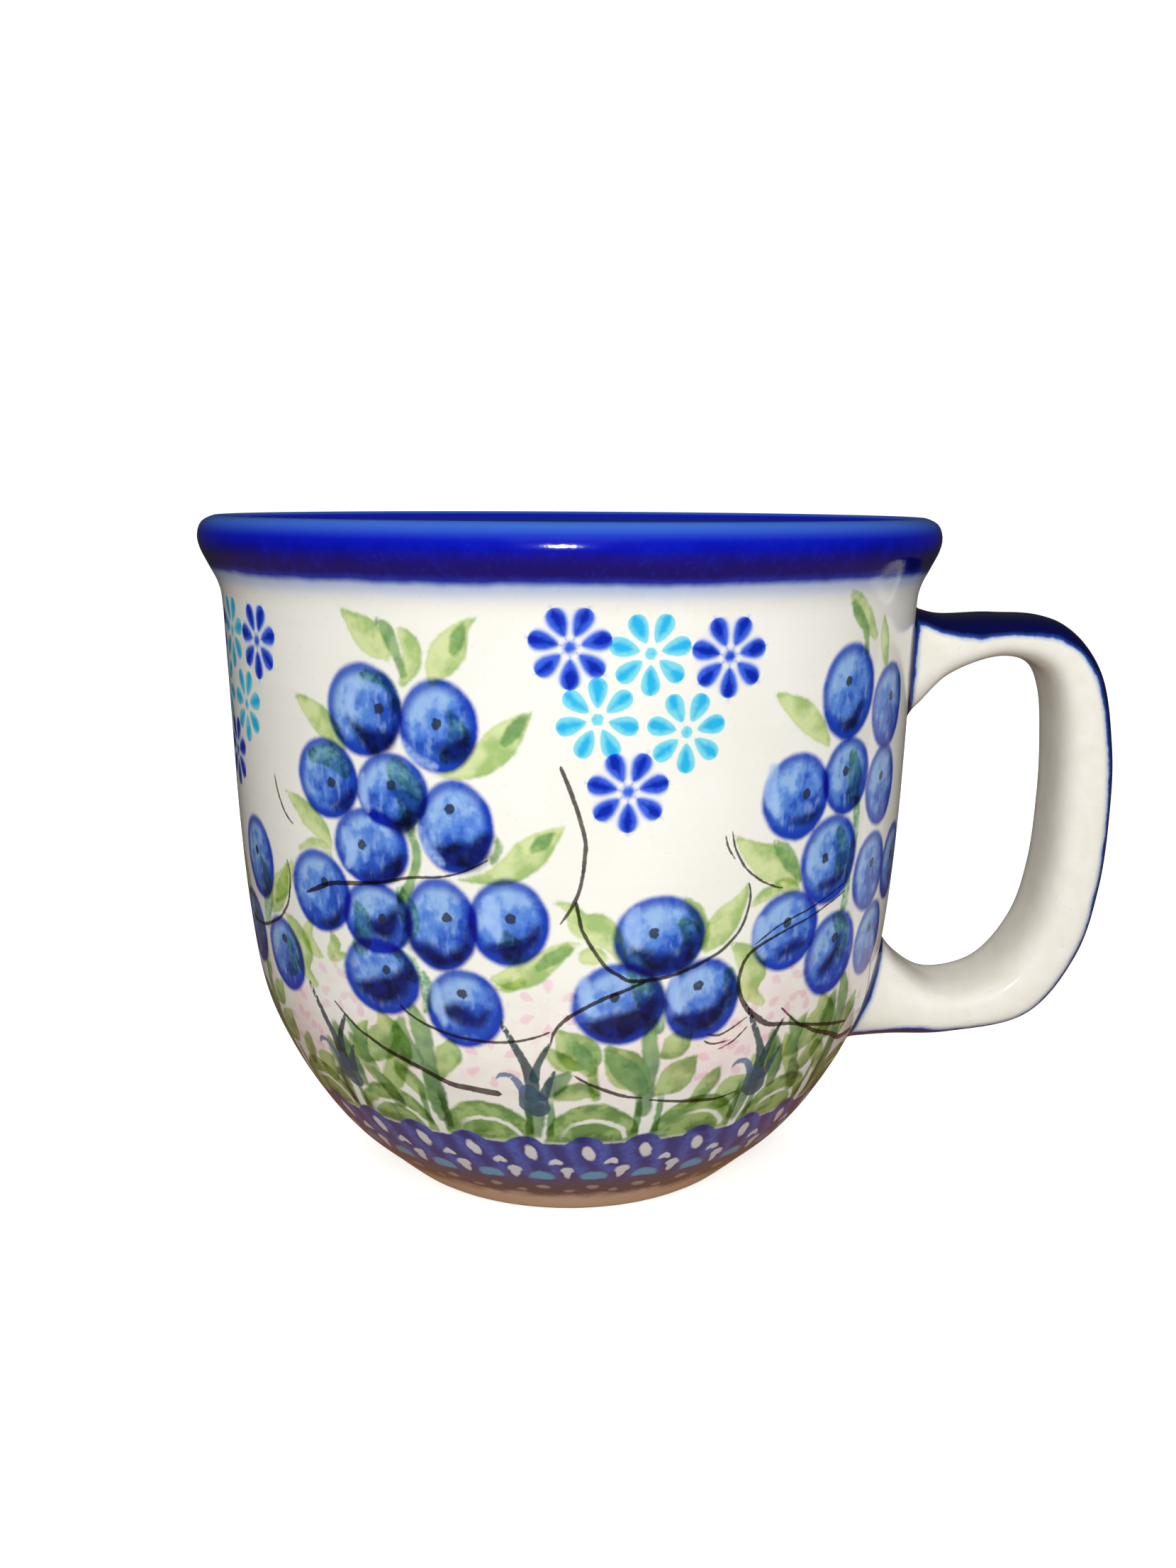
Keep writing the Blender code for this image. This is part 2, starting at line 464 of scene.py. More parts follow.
class Layers:
    """Sheets of stencil numbers over the wall. A stamp goes on the first sheet still free there."""

    def __init__(self, name, bare):
        self.name = name
        self.bare = bare
        self.sheets = []

    def lay(self, rows, near, values):
        for taken, numbers in self.sheets:
            if not taken[near].any():
                break
        else:
            taken = np.zeros(len(point_angle), bool)
            numbers = np.tile(np.array(self.bare, np.float32), (len(point_angle), 1))
            self.sheets.append((taken, numbers))
        taken[near] = True
        numbers[rows] = values

    def store(self, made):
        """Writes the sheets to the mesh and returns the names they have there."""
        names = []
        for k, (taken, numbers) in enumerate(self.sheets):
            names.append("%s_%d" % (self.name, k + 1))
            stored = made.data.attributes.new(names[-1], "FLOAT_VECTOR", "POINT")
            stored.data.foreach_set("vector", numbers.astype(np.float32).ravel())
        print(self.name, "uses", len(names), "sheets")
        return names


# %% A round stamp and a brushed stroke
def stamp(layers, angle, height, half_width, half_height, reach, tilt=0.0):
    """Stores across, up and distance from the middle, in units of the stamp's half width and height."""
    near_rows = np.nonzero(np.abs(point_climb - climb_of(height)) < half_height * (reach + 0.5) + 1.0)[0]
    across = across_from(angle, near_rows)
    up = point_climb[near_rows] - climb_of(height)
    c, s = math.cos(math.radians(tilt)), math.sin(math.radians(tilt))
    across, up = c * across + s * up, c * up - s * across
    across, up = across / half_width, up / half_height
    distance = np.hypot(across, up)
    margin = 1.5 / min(half_width, half_height)
    rows = near_rows[distance < reach]
    near = near_rows[distance < reach + margin]
    values = np.stack([across, up, distance], axis=1)[distance < reach]
    layers.lay(rows, near, values)


def stroke(layers, knots, kind, tone):
    """Stores how a point lies to a brushed line. Knots are angle, height and half width in mm."""
    line = smooth_line(knots, 8)
    line[:, 1] = climb_of(line[:, 1])
    wide = line[:, 2].max() + 3.0
    low, high = line[:, 1].min() - wide, line[:, 1].max() + wide
    near_rows = np.nonzero((point_climb > low) & (point_climb < high))[0]
    middle_angle = (line[:, 0].min() + line[:, 0].max()) / 2.0
    span = math.radians((line[:, 0].max() - line[:, 0].min()) / 2.0)
    gap = (point_angle[near_rows] - math.radians(middle_angle) + math.pi) % (2.0 * math.pi) - math.pi
    kept = np.abs(gap) < span + wide / point_radius[near_rows]
    near_rows, gap = near_rows[kept], gap[kept]
    best = np.full(len(near_rows), 1e9)
    offset, half, over = np.zeros_like(best), np.zeros_like(best), np.zeros_like(best)
    radius, rise = point_radius[near_rows], point_climb[near_rows]
    last = len(line) - 2
    for k in range(last + 1):
        ax = (math.radians(line[k, 0] - middle_angle) - gap) * radius
        bx = (math.radians(line[k + 1, 0] - middle_angle) - gap) * radius
        ay, by = line[k, 1] - rise, line[k + 1, 1] - rise
        dx, dy = bx - ax, by - ay
        run = np.hypot(dx, dy) + 1e-9
        t = -(ax * dx + ay * dy) / run ** 2
        held = np.clip(t, 0.0, 1.0)
        distance = np.hypot(ax + held * dx, ay + held * dy)
        closer = distance < best
        best = np.where(closer, distance, best)
        offset = np.where(closer, (ax * dy - ay * dx) / run, offset)
        half = np.where(closer, line[k, 2] + held * (line[k + 1, 2] - line[k, 2]), half)
        ends = np.zeros_like(best)
        if k == 0:
            ends = np.maximum(ends, -t * run)
        if k == last:
            ends = np.maximum(ends, (t - 1.0) * run)
        over = np.where(closer, ends, over)
    if kind == "line":
        half = half - over - 4.0 * np.maximum(0.0, best - 0.95)
        rows, near = best < 1.35, best < 2.0
        values = np.stack([offset, half, np.full_like(half, tone)], axis=1)
    else:
        inside_by = half - best
        side = np.clip(offset / (half + 0.2), -1.0, 1.0)
        rows, near = inside_by > -1.3, inside_by > -2.0
        values = np.stack([inside_by, side, np.full_like(half, tone)], axis=1)
    layers.lay(near_rows[rows], near_rows[near], values[rows])


def brush(layers, shifts, tones, kind="leaf", broader=1.0):
    """Repeats pulls of the brush round the cup, shifted by degrees. Tones are pairs of a tone and pulls."""
    for shift in shifts:
        for tone, pulls in tones:
            for knots in pulls:
                moved = [(angle + shift, height, half * broader) for angle, height, half in knots]
                stroke(layers, moved, kind, tone)


# %% [markdown]
# ### Berries
# Each berry is a round sponge stamp: a dark ring, a mottled light body, a dark underside and a small
# black eye. The stamps overlap a little, and where they do the glaze shows both.

# %% Berries: angle, height, half width, half height, and the angle and height of the eye
BRANCH_BERRIES = [
    (-29, 71.9, 5.5, 5.6, -26.2, 72.2), (-17, 70.5, 4.95, 5.5, -17.2, 70.8),
    (-36.7, 62.9, 5.15, 5, -35.7, 62.4), (-24.7, 62.3, 5, 4.6, -24.7, 63),
    (-14.8, 58.5, 4.7, 5.6, -15.5, 60.7), (-28.9, 55, 5.6, 4.8, -30.4, 55.1),
    (-39.9, 48.1, 5.5, 5.3, -38.6, 49.4), (-28.5, 46, 5.2, 4.6, -27.4, 46),
    (-17.6, 46.2, 4.75, 5.8, -16.5, 47.2), (-7.2, 47, 4.85, 5.4, -6.9, 47.6),
    (-28.7, 38.3, 5.75, 5, -27.4, 39.3), (-14.4, 35.5, 4.9, 5.1, -14.65, 37.6)]
TRIO_BERRIES = [(15.1, 45.1, 5.7, 5.1, 14.1, 45.6), (9.2, 36.6, 5.7, 5.3, 8.5, 37.6),
                (22.3, 36.4, 5, 5.4, 21.5, 38.4)]
RIGHT_BERRIES = [
    (47.7, 73.3, 5.5, 6, 47.1, 74.7), (60.5, 70.5, 5.2, 5.6, 61.3, 71.6),
    (37.2, 61, 5.5, 5.4, 38.9, 61.2), (48.5, 62.5, 5, 4.9, 47.8, 63.2),
    (60, 60, 4.8, 5.4, 59.7, 61.2), (45.6, 52, 5.65, 5.8, 44.2, 52.3),
    (36.9, 43.8, 5.5, 5.2, 36.9, 44.9), (58.5, 48.5, 4.9, 5.4, 59, 49.6),
    (48.5, 39, 5.5, 5.7, 49, 41), (70, 48, 4.9, 5.4, 70.2, 48.8),
    (62, 38.5, 4.9, 5.2, 61.8, 40)]
LEFT_TRIO_BERRIES = [(-59, 49.6, 5, 5.6, -59.7, 50.4), (-52.3, 37.4, 4.8, 5.1, -51.9, 39.6),
                     (-66.5, 38.6, 5.2, 5.2, -66.8, 39.6)]

# The same sprays come again round the cup, shifted by these angles.
BRANCH_SHIFTS = [0, -77, -154]
TRIO_SHIFTS = [0, -154, 117.5]
FLOWER_SHIFTS = BRANCH_SHIFTS + [117.5]
GROUND_SHIFTS = BRANCH_SHIFTS + [77.0, 117.5]


def shifted(rows, shifts):
    """The rows repeated round the cup. Columns 0 and 4 are angles."""
    return [(a + s, h, w, t, b + s, e) for s in shifts for a, h, w, t, b, e in rows]


berries = shifted(BRANCH_BERRIES, BRANCH_SHIFTS) + shifted(TRIO_BERRIES, TRIO_SHIFTS)
berries += RIGHT_BERRIES + LEFT_TRIO_BERRIES
berry_layers = Layers("berry", (3.0, 3.0, 3.0))
eye_layers = Layers("eye", (4.0, 4.0, 4.0))
for angle, height, half_width, half_height, eye_angle, eye_height in berries:
    stamp(berry_layers, angle, height, half_width, half_height, 1.25)
    stamp(eye_layers, eye_angle, eye_height, 1.0, 1.0, 1.9)
berry_sheets = berry_layers.store(painted_wall)
eye_sheets = eye_layers.store(painted_wall)
print(len(berries), "berries")

# %% Shade on the underside of the berries, and gleams on their lit side, as brushed pulls
BRANCH_SHADES = [
    [(-31.6, 70.8, 0.3), (-29.8, 69.3, 0.8), (-27.6, 68.2, 1.4), (-25.4, 68.7, 1)],
    [(-24, 73.5, 0.3), (-23.5, 70.7, 0.4), (-25.1, 67.8, 0.6), (-28, 66.9, 0.3)],
    [(-16.5, 67.9, 0.6), (-14.6, 67.6, 1.3), (-12.7, 69.2, 0.8)],
    [(-34.9, 59.5, 0.4), (-32.9, 60.3, 1), (-31.5, 61.8, 0.4)],
    [(-24.3, 58.3, 0.7), (-22.5, 58, 1), (-20.8, 59.9, 0.5)],
    [(-17.5, 56, 0.4), (-15.5, 55.1, 1.6), (-12.1, 55.3, 1.7), (-10.2, 57.2, 0.8)],
    [(-30.3, 51.2, 0.4), (-27.3, 51.3, 0.7), (-25, 52.4, 1.2), (-23.5, 54.1, 0.6)],
    [(-40.1, 43.8, 0.4), (-37.4, 44.2, 0.7), (-35.3, 46.2, 0.4)],
    [(-29.1, 44.9, 0.9), (-26.7, 44.8, 1.3), (-24.8, 47.1, 0.7)],
    [(-22.4, 43.2, 0.6), (-19.7, 42.6, 1.1), (-17.2, 41.6, 1), (-14, 43.1, 0.8), (-13.1, 46.4, 0.4)],
    [(-10.1, 43.7, 0.4), (-7.2, 43.5, 1.1), (-4.3, 44.4, 0.9), (-2.9, 46.4, 0.4)],
    [(-33.5, 36.6, 0.5), (-29.6, 36.3, 1.6), (-25.8, 37.3, 1.6), (-23.5, 39.7, 0.7)],
    [(-18.2, 35.1, 0.5), (-15.6, 34.9, 1.3), (-12.5, 33.9, 0.8), (-10.9, 35.3, 0.4)]]
BRANCH_GLEAMS = [
    [(-22.4, 68.4, 0.3), (-20.5, 66.6, 0.5), (-17.6, 65.6, 0.4)],
    [(-20, 58, 0.3), (-19.2, 55.7, 0.5), (-17, 54, 0.4)],
    [(-29.6, 64, 0.3), (-29.5, 61.6, 0.6), (-28.9, 59.7, 0.3)],
    [(-30.5, 74.9, 0.6), (-31.3, 72.5, 0.7), (-30.6, 70.6, 0.3)],
    [(-33.2, 56.4, 0.7), (-32.2, 54.1, 0.8), (-33.3, 52.3, 0.4)],
    [(-19, 38, 0.5), (-18.7, 35.5, 0.7), (-17.8, 33.4, 0.4)],
    [(-9.9, 49.4, 0.9), (-9.5, 47, 1), (-8.6, 45, 0.4)]]
TRIO_SHADES = [
    [(11.3, 43.6, 0.7), (14.8, 41.8, 1.3), (18.3, 42, 1.1), (20.2, 44.3, 0.6)],
    [(4.4, 34.1, 0.5), (7.8, 33.6, 1.8), (11.8, 34.3, 1.8), (14.6, 36.8, 1)],
    [(18.4, 34.3, 0.7), (22.2, 33.5, 1.6), (25.4, 34.9, 1.1), (26.8, 37.4, 0.5)]]
TRIO_GLEAMS = [
    [(11.2, 48.5, 0.7), (10.8, 46.1, 1), (11.8, 44, 0.4)],
    [(3.8, 39.7, 0.6), (4.3, 37.1, 0.9), (5.8, 35.4, 0.4)],
    [(17.5, 39.5, 0.6), (17.7, 37, 0.7), (18.9, 35.2, 0.3)]]
RIGHT_SHADES = [
    [(43.3, 48.8, 0.5), (46.5, 48.8, 0.8), (48.9, 49.7, 0.4)],
    [(35.5, 40.6, 0.4), (38.7, 41.4, 0.8), (41.5, 41.8, 0.4)],
    [(46.6, 37, 0.9), (48.9, 38.4, 0.9), (50.4, 40.9, 0.4)],
    [(36.6, 58, 0.4), (39.9, 58, 0.7), (41.9, 59, 0.4)],
    [(45.5, 69.3, 0.4), (48.6, 69.3, 1.1), (51, 71.5, 0.5)]]
RIGHT_GLEAMS = [
    [(32.3, 64.8, 0.7), (32, 61.6, 1), (33.4, 59.1, 0.4)],
    [(31.7, 45.7, 0.6), (31.3, 43.2, 0.7), (32.9, 40.9, 0.3)],
    [(41, 54.2, 0.4), (40.6, 51.7, 0.5), (42.4, 49.4, 0.2)]]
shade_layers = Layers("shade", (-3.0, 0.0, 0.0))
brush(shade_layers, BRANCH_SHIFTS, [(0, BRANCH_SHADES), (1, BRANCH_GLEAMS)])
brush(shade_layers, TRIO_SHIFTS, [(0, TRIO_SHADES), (1, TRIO_GLEAMS)])
brush(shade_layers, [0.0], [(0, RIGHT_SHADES), (1, RIGHT_GLEAMS)])
shade_sheets = shade_layers.store(painted_wall)

# %% [markdown]
# ### Leaves
# A leaf is two or three pulls of a full brush: a pale body and a darker stroke along one side. Half
# widths that swell and taper give each pull its leaf shape.

# %% Leaves of the berry branch: angle, height and half width along each pull
BRANCH_LEAVES = [
    [(-32.5, 84.2, 0.1), (-30.7, 82.8, 1), (-28.3, 81.3, 2), (-26, 79.7, 1.9), (-24.5, 78.5, 0.7)],
    [(-23, 82.1, 0.2), (-21.4, 80.7, 1.2), (-20.5, 79, 1.4), (-21, 77.1, 1.2), (-22.2, 75.5, 0.6)],
    [(-11, 83.5, 0.1), (-12.9, 82.2, 1), (-14.9, 79.7, 2.2), (-16.6, 77.6, 1.9), (-17.5, 76.1, 0.9)],
    [(-43.2, 73, 0.1), (-41, 72, 1), (-37.9, 70.5, 1.9), (-35.1, 68.7, 1.6), (-33, 66.9, 0.7)],
    [(-3.5, 72.6, 0.1), (-5.1, 71.3, 1.1), (-7.6, 69.2, 2.1), (-10.4, 66.8, 1.9), (-13.7, 65.2, 1),
     (-17.6, 64.7, 0.3)],
    [(-47.1, 60.2, 0.1), (-44.2, 59.1, 1.1), (-40.8, 57.4, 1.8), (-38, 55.7, 1.3), (-36.5, 53.8, 0.4)],
    [(-44.2, 53, 0.4), (-40.8, 54.3, 0.7), (-37.8, 54, 0.6), (-36.6, 52.7, 0.3)],
    [(1.2, 59.1, 0.1), (-1, 57.8, 1.2), (-3.7, 55.8, 2.1), (-7, 53.5, 1.7), (-10.7, 52.4, 0.8),
     (-14.4, 52.2, 0.3)],
    [(3.2, 44.6, 0.2), (1.2, 44.1, 0.9), (-1.5, 42.4, 1.6), (-4.4, 40.9, 2), (-7.3, 39.9, 1.6),
     (-9.7, 39.8, 0.5)],
    [(-5.4, 39.6, 0.7), (-7.3, 38.7, 0.7), (-9.3, 38.8, 0.5)],
    [(-42.5, 43.9, 0.4), (-44.3, 41.4, 1.3), (-42.9, 39.9, 1.2), (-40.7, 38.9, 0.3)],
    [(-38, 42.8, 0.4), (-37.5, 41.2, 1.2), (-38.6, 39.5, 0.9), (-35.6, 40.2, 0.5)],
    [(-46.3, 51.2, 0.3), (-48.5, 48.5, 1.4), (-51, 46.3, 1.3), (-53.5, 44.5, 0.3)]]
BRANCH_DARK = [
    [(-26.1, 82.7, 0.4), (-24.5, 81.7, 1), (-23.6, 80, 1), (-22.7, 78.2, 0.7), (-22, 76.3, 0.6)],
    [(-12.6, 82.7, 0.4), (-13.7, 81.1, 1), (-14.4, 79.4, 0.7)],
    [(-4.4, 72.1, 0.4), (-5.8, 70.6, 1), (-7.2, 69, 0.7)],
    [(-0.9, 58.2, 0.4), (-2.1, 57.2, 1), (-3.2, 56.3, 0.7)],
    [(-9, 57.8, 0.3), (-8.5, 56.2, 0.6), (-9.3, 54.6, 0.5)],
    [(-21.9, 59, 1.2), (-21.7, 57.5, 0.7), (-20.8, 54.8, 0.7), (-21.7, 51.9, 0.7), (-23.5, 49, 0.9)],
    [(1.3, 43.8, 0.9), (-1.5, 42.4, 1), (-2.9, 41.5, 0.5)]]
BRANCH_VEILS = [
    [(-23.9, 65.2, 1.4), (-22.2, 63, 2.1), (-21.3, 60.7, 1.9), (-23, 58.2, 1.2)],
    [(-39.5, 65.5, 1), (-36, 65.8, 1.6), (-32.9, 64.5, 1.4)],
    [(-28.5, 76.2, 0.7), (-25.2, 75.6, 0.9), (-23.5, 73.7, 0.7), (-23.1, 71.5, 0.4)],
    [(-15.4, 72.2, 0.5), (-14, 70.3, 1.2), (-14.1, 68, 1.6), (-16, 66.8, 0.9)],
    [(-31.9, 47.1, 0.9), (-31, 44.7, 1.6), (-32, 42, 1.4)],
    [(-24, 50, 0.7), (-22.8, 47.7, 1.4), (-22.5, 45.2, 1.2), (-24.1, 43, 0.5)],
    [(-25.3, 42, 0.7), (-22.9, 40.6, 1.2), (-22.8, 38.9, 0.9)],
    [(-21.1, 39.5, 0.7), (-20.2, 37.5, 1), (-20.7, 34.9, 0.7)],
    [(-7.6, 45.5, 0.7), (-7.2, 44.3, 1.6), (-6.7, 43.1, 1.2)]]

# %% Leaves round the three low berries
TRIO_LEAVES = [
    [(-1, 49.9, 0.2), (1.6, 49.1, 0.8), (3.3, 47.1, 1.6), (6.1, 46.2, 2.1), (8.2, 44.5, 1.4),
     (9.6, 42, 0.6)],
    [(4, 42.9, 1), (5.4, 43, 1.3), (7.3, 42.5, 0.4)],
    [(18.4, 50, 0.3), (20.5, 48, 1), (21.8, 45.4, 0.9), (21.9, 43.4, 0.5)],
    [(29.1, 51, 0.2), (27.6, 48.6, 1.2), (25.3, 46.4, 2.1), (23.4, 44.3, 1.7), (22.2, 42.9, 0.5)],
    [(26.7, 43.3, 0.4), (29.5, 41.3, 1.8), (31.3, 39, 1.9), (30.4, 36.9, 1.4), (33.2, 34.8, 0.7)]]
TRIO_VEILS = [
    [(18.8, 46.5, 1), (20.2, 44.7, 1.4), (19.3, 42.3, 1.4), (18.5, 40.3, 0.7)],
    [(11.4, 42, 1.4), (13, 39.4, 1.9), (14.2, 36.4, 1.9), (15.1, 33.3, 1.2)],
    [(26.6, 39.5, 0.9), (27.4, 36.9, 1.4), (25.4, 34.9, 0.9)]]
RIGHT_LEAVES = [
    [(45, 86, 0.3), (47.5, 84.5, 1.2), (50.5, 82.5, 1.4), (53.5, 80, 0.8)],
    [(56, 82.5, 0.3), (57, 79.5, 1.4), (58, 76.5, 0.9)],
    [(31.5, 74.2, 0.1), (34, 73, 1.1), (37.5, 71.2, 1.9), (40.5, 69.2, 1.6), (43, 67.2, 0.6)],
    [(26.2, 56.9, 0.3), (29.1, 54.9, 1.5), (32.7, 53, 2.4), (35.8, 52, 2), (38.5, 50.2, 0.7)],
    [(33.6, 50.5, 0.4), (36.1, 49.8, 1.2), (38.2, 49.1, 0.7)],
    [(30, 48, 0.4), (31.9, 49, 1), (34.3, 49.6, 0.9)]]
RIGHT_DARK = [
    [(46.5, 84.6, 0.5), (48.3, 82.8, 1), (50.5, 81, 0.8), (51.5, 78, 0.6)],
    [(33.4, 55.6, 0.5), (35.4, 54, 1.3), (37.6, 51.7, 1), (38.7, 50.3, 0.4)]]
RIGHT_VEILS = [
    [(49.5, 65, 1), (50.5, 62.5, 1.8), (50.3, 59.5, 1.6)],
    [(47.4, 55.5, 0.9), (48.6, 53, 1.5), (48.2, 50, 1.2)],
    [(51.5, 59, 0.9), (52, 55, 0.8), (51, 51, 0.8), (50.5, 45, 0.9)],
    [(48.6, 44, 0.9), (51, 41.5, 1.5), (51.5, 38.5, 1.1)]]

# %% Low plants that stand on the green domes
LOW_UNDER_BRANCH = [
    [(-29.5, 33.3, 0.5), (-28.6, 31.2, 1.7), (-30.6, 28.6, 1.9), (-34, 26.6, 0.9)],
    [(-17, 30.8, 0.6), (-17.5, 29.4, 1.5), (-18.7, 27.6, 1.2), (-20.4, 25.5, 0.8)],
    [(-28, 26.5, 0.4), (-27, 25.2, 1.1), (-25, 23.6, 1.1), (-23.6, 21.6, 0.6)],
    [(-37, 29, 0.4), (-36, 27.4, 1.2), (-34, 25, 1.2), (-32.6, 22.6, 0.7)],
    [(-43.5, 27.5, 0.3), (-42.5, 25.5, 1.1), (-41.5, 22.5, 0.9)]]
LOW_UNDER_BRANCH_DARK = [
    [(-23.3, 34.6, 0.7), (-22.2, 32.1, 1.2), (-21.7, 29.4, 1.1), (-21.5, 26, 1), (-21.9, 20, 0.9)],
    [(-25.5, 33, 0.5), (-26, 30, 1.5), (-24, 27.5, 1.2)],
    [(-21.6, 26, 1), (-21.2, 22.4, 1.2), (-21.6, 18.6, 0.6)],
    [(-40.5, 30, 0.5), (-39, 27, 1.2), (-37.5, 24, 1)],
    [(-33.5, 24.5, 0.5), (-31.5, 22.5, 1), (-30, 20, 0.9)]]
LOW_UNDER_TRIO = [
    [(0, 32.9, 0.5), (2, 31.1, 1.9), (4, 29.3, 2.1), (5, 27.5, 0.7)],
    [(7.9, 30.6, 0.6), (9.8, 28.7, 1.9), (11.8, 26.7, 2.1), (14.1, 25.1, 0.9)],
    [(21.2, 32.8, 0.2), (19.3, 31.2, 1.4), (17.8, 30, 1.4), (16.3, 29.2, 0.4)],
    [(22.3, 28.8, 0.2), (20.4, 27, 1.7), (18.5, 25.2, 1.9), (16.5, 23.9, 0.7)],
    [(0.2, 23.9, 0.8), (2.1, 24.5, 1.2), (4.2, 24.6, 1.1), (5.8, 24, 0.5)],
    [(5.4, 29.2, 0.4), (5.5, 26.5, 0.6), (6, 23.6, 0.6)],
    [(-1.6, 30.6, 0.5), (0.6, 28.9, 1.1), (3.6, 28.3, 0.5)],
    [(27, 26.5, 0.3), (26, 25, 1.1), (24.6, 23.2, 1.1), (23.4, 21.4, 0.6)],
    [(37.5, 29, 0.3), (36.9, 26, 1), (36.6, 22.5, 0.8)],
    [(32.9, 24.2, 0.4), (30.7, 23.1, 1.7), (29.6, 21.2, 1.4)],
    [(44.5, 31.7, 0.2), (42.6, 29.6, 1), (41.6, 26.6, 0.9)],
    [(49.9, 32.8, 0.3), (51, 29.6, 1.2), (49.7, 27, 1.4), (47.4, 23.8, 1.4)]]
LOW_UNDER_TRIO_DARK = [
    [(14.3, 33.8, 0.7), (14.2, 31.6, 0.9), (14.7, 28.8, 1), (14.5, 26.1, 0.9), (14.5, 21, 0.9)],
    [(7.6, 30.4, 0.5), (9.5, 28.5, 1.2), (11.6, 26.6, 1.4), (13.7, 24.3, 0.9)],
    [(-1.3, 24, 0.5), (-0.4, 25.6, 1.2), (1.4, 27, 0.6)],
    [(-4, 21.8, 1.2), (-4, 19.5, 0.9), (-3.9, 17.2, 0.4)],
    [(33.8, 21.8, 1), (33.9, 19.5, 0.8), (33.9, 17.2, 0.4)],
    [(2.4, 31.8, 0.3), (3.8, 29.9, 0.9), (4.9, 28, 0.6)],
    [(40.2, 31.4, 0.4), (42.1, 29.2, 0.9), (42.5, 26.3, 0.8)],
    [(38.5, 27.6, 0.3), (39.3, 25, 0.9), (39.7, 21.9, 0.7)]]

leaf_layers = Layers("leaf", (-3.0, 0.0, 0.0))
PALE, DARK, VEIL = 0, 1, 2
brush(leaf_layers, BRANCH_SHIFTS, [(PALE, BRANCH_LEAVES), (DARK, BRANCH_DARK), (VEIL, BRANCH_VEILS)])
brush(leaf_layers, FLOWER_SHIFTS, [(PALE, TRIO_LEAVES), (VEIL, TRIO_VEILS)])
brush(leaf_layers, [0.0], [(PALE, RIGHT_LEAVES), (DARK, RIGHT_DARK), (VEIL, RIGHT_VEILS)])
LOW_BREADTH = 1.25
low_pulls = [(PALE, LOW_UNDER_BRANCH), (DARK, LOW_UNDER_BRANCH_DARK)]
brush(leaf_layers, BRANCH_SHIFTS + [77.0], low_pulls, broader=LOW_BREADTH)
low_pulls = [(PALE, LOW_UNDER_TRIO), (DARK, LOW_UNDER_TRIO_DARK)]
brush(leaf_layers, GROUND_SHIFTS, low_pulls, broader=LOW_BREADTH)
leaf_sheets = leaf_layers.store(painted_wall)

# %% Grass: dark blue-green sprouts with a curl at the foot
SPROUT = [
    (0, [[(-4.7, 34.8, 0.35), (-2.6, 31.5, 0.55), (-0.8, 28.6, 0.7), (0.1, 26.4, 1), (0.2, 23.6, 1.1)],
         [(3.6, 31.9, 0.25), (2.6, 30.6, 0.45), (1.2, 28.4, 0.6), (0.6, 26.4, 0.8)]]),
    (0.3, [[(-0.5, 24.5, 1.3), (0.3, 22.9, 2.1), (1, 22, 1.7)]]),
    (0.2, [[(3.9, 27.6, 0.3), (2.8, 25.6, 0.6), (1.9, 23.8, 0.9)]]),
    (1, [[(-5.8, 25.8, 0.2), (-4.8, 26.8, 0.45), (-2.9, 26.6, 0.55), (-1.5, 25, 0.7)]])]
SPROUT_ANGLES = [-40.7, -4.5, 35.1, 70.6, 106.1, 141.7, 177.2, -147.3, -111.7, -76.2]
grass_layers = Layers("grass", (-3.0, 0.0, 0.0))
brush(grass_layers, SPROUT_ANGLES, SPROUT)
grass_sheets = grass_layers.store(painted_wall)

# %% Tendrils: one pull of a fine liner brush each, in brown-black
TRIO_TENDRILS = [
    [(0.4, 66.1, 0.24), (2.3, 62, 0.26), (3.8, 57.6, 0.25), (3.8, 55.3, 0.25), (3.4, 52.4, 0.22),
     (2.7, 50.4, 0.25), (1.6, 48.6, 0.2), (0.2, 46.9, 0.08)],
    [(2.6, 49.8, 0.2), (3.1, 47.7, 0.22), (3.8, 45.7, 0.24), (6.7, 41.9, 0.24), (8.9, 40.5, 0.24),
     (11.3, 39.6, 0.26), (17.4, 40.1, 0.24), (23.8, 42.1, 0.22), (26.5, 43.7, 0.2), (28.4, 45.7, 0.2),
     (29.4, 49, 0.16), (28.9, 51.1, 0.1)],
    [(-1.2, 31.4, 0.15), (-0.6, 33.1, 0.2), (0.9, 34.6, 0.24), (3.2, 35.9, 0.26), (7.2, 37.6, 0.26),
     (9.9, 38.4, 0.24), (13, 39.5, 0.2)],
    [(2.5, 27, 0.16), (5, 25.7, 0.2), (8.2, 24.5, 0.28), (11.1, 23.6, 0.24), (14, 23.2, 0.14)],
    [(15.3, 22.8, 0.16), (20.1, 22.1, 0.24), (24.7, 21.7, 0.3), (28.4, 21.5, 0.2), (32.2, 22.1, 0.1)]]
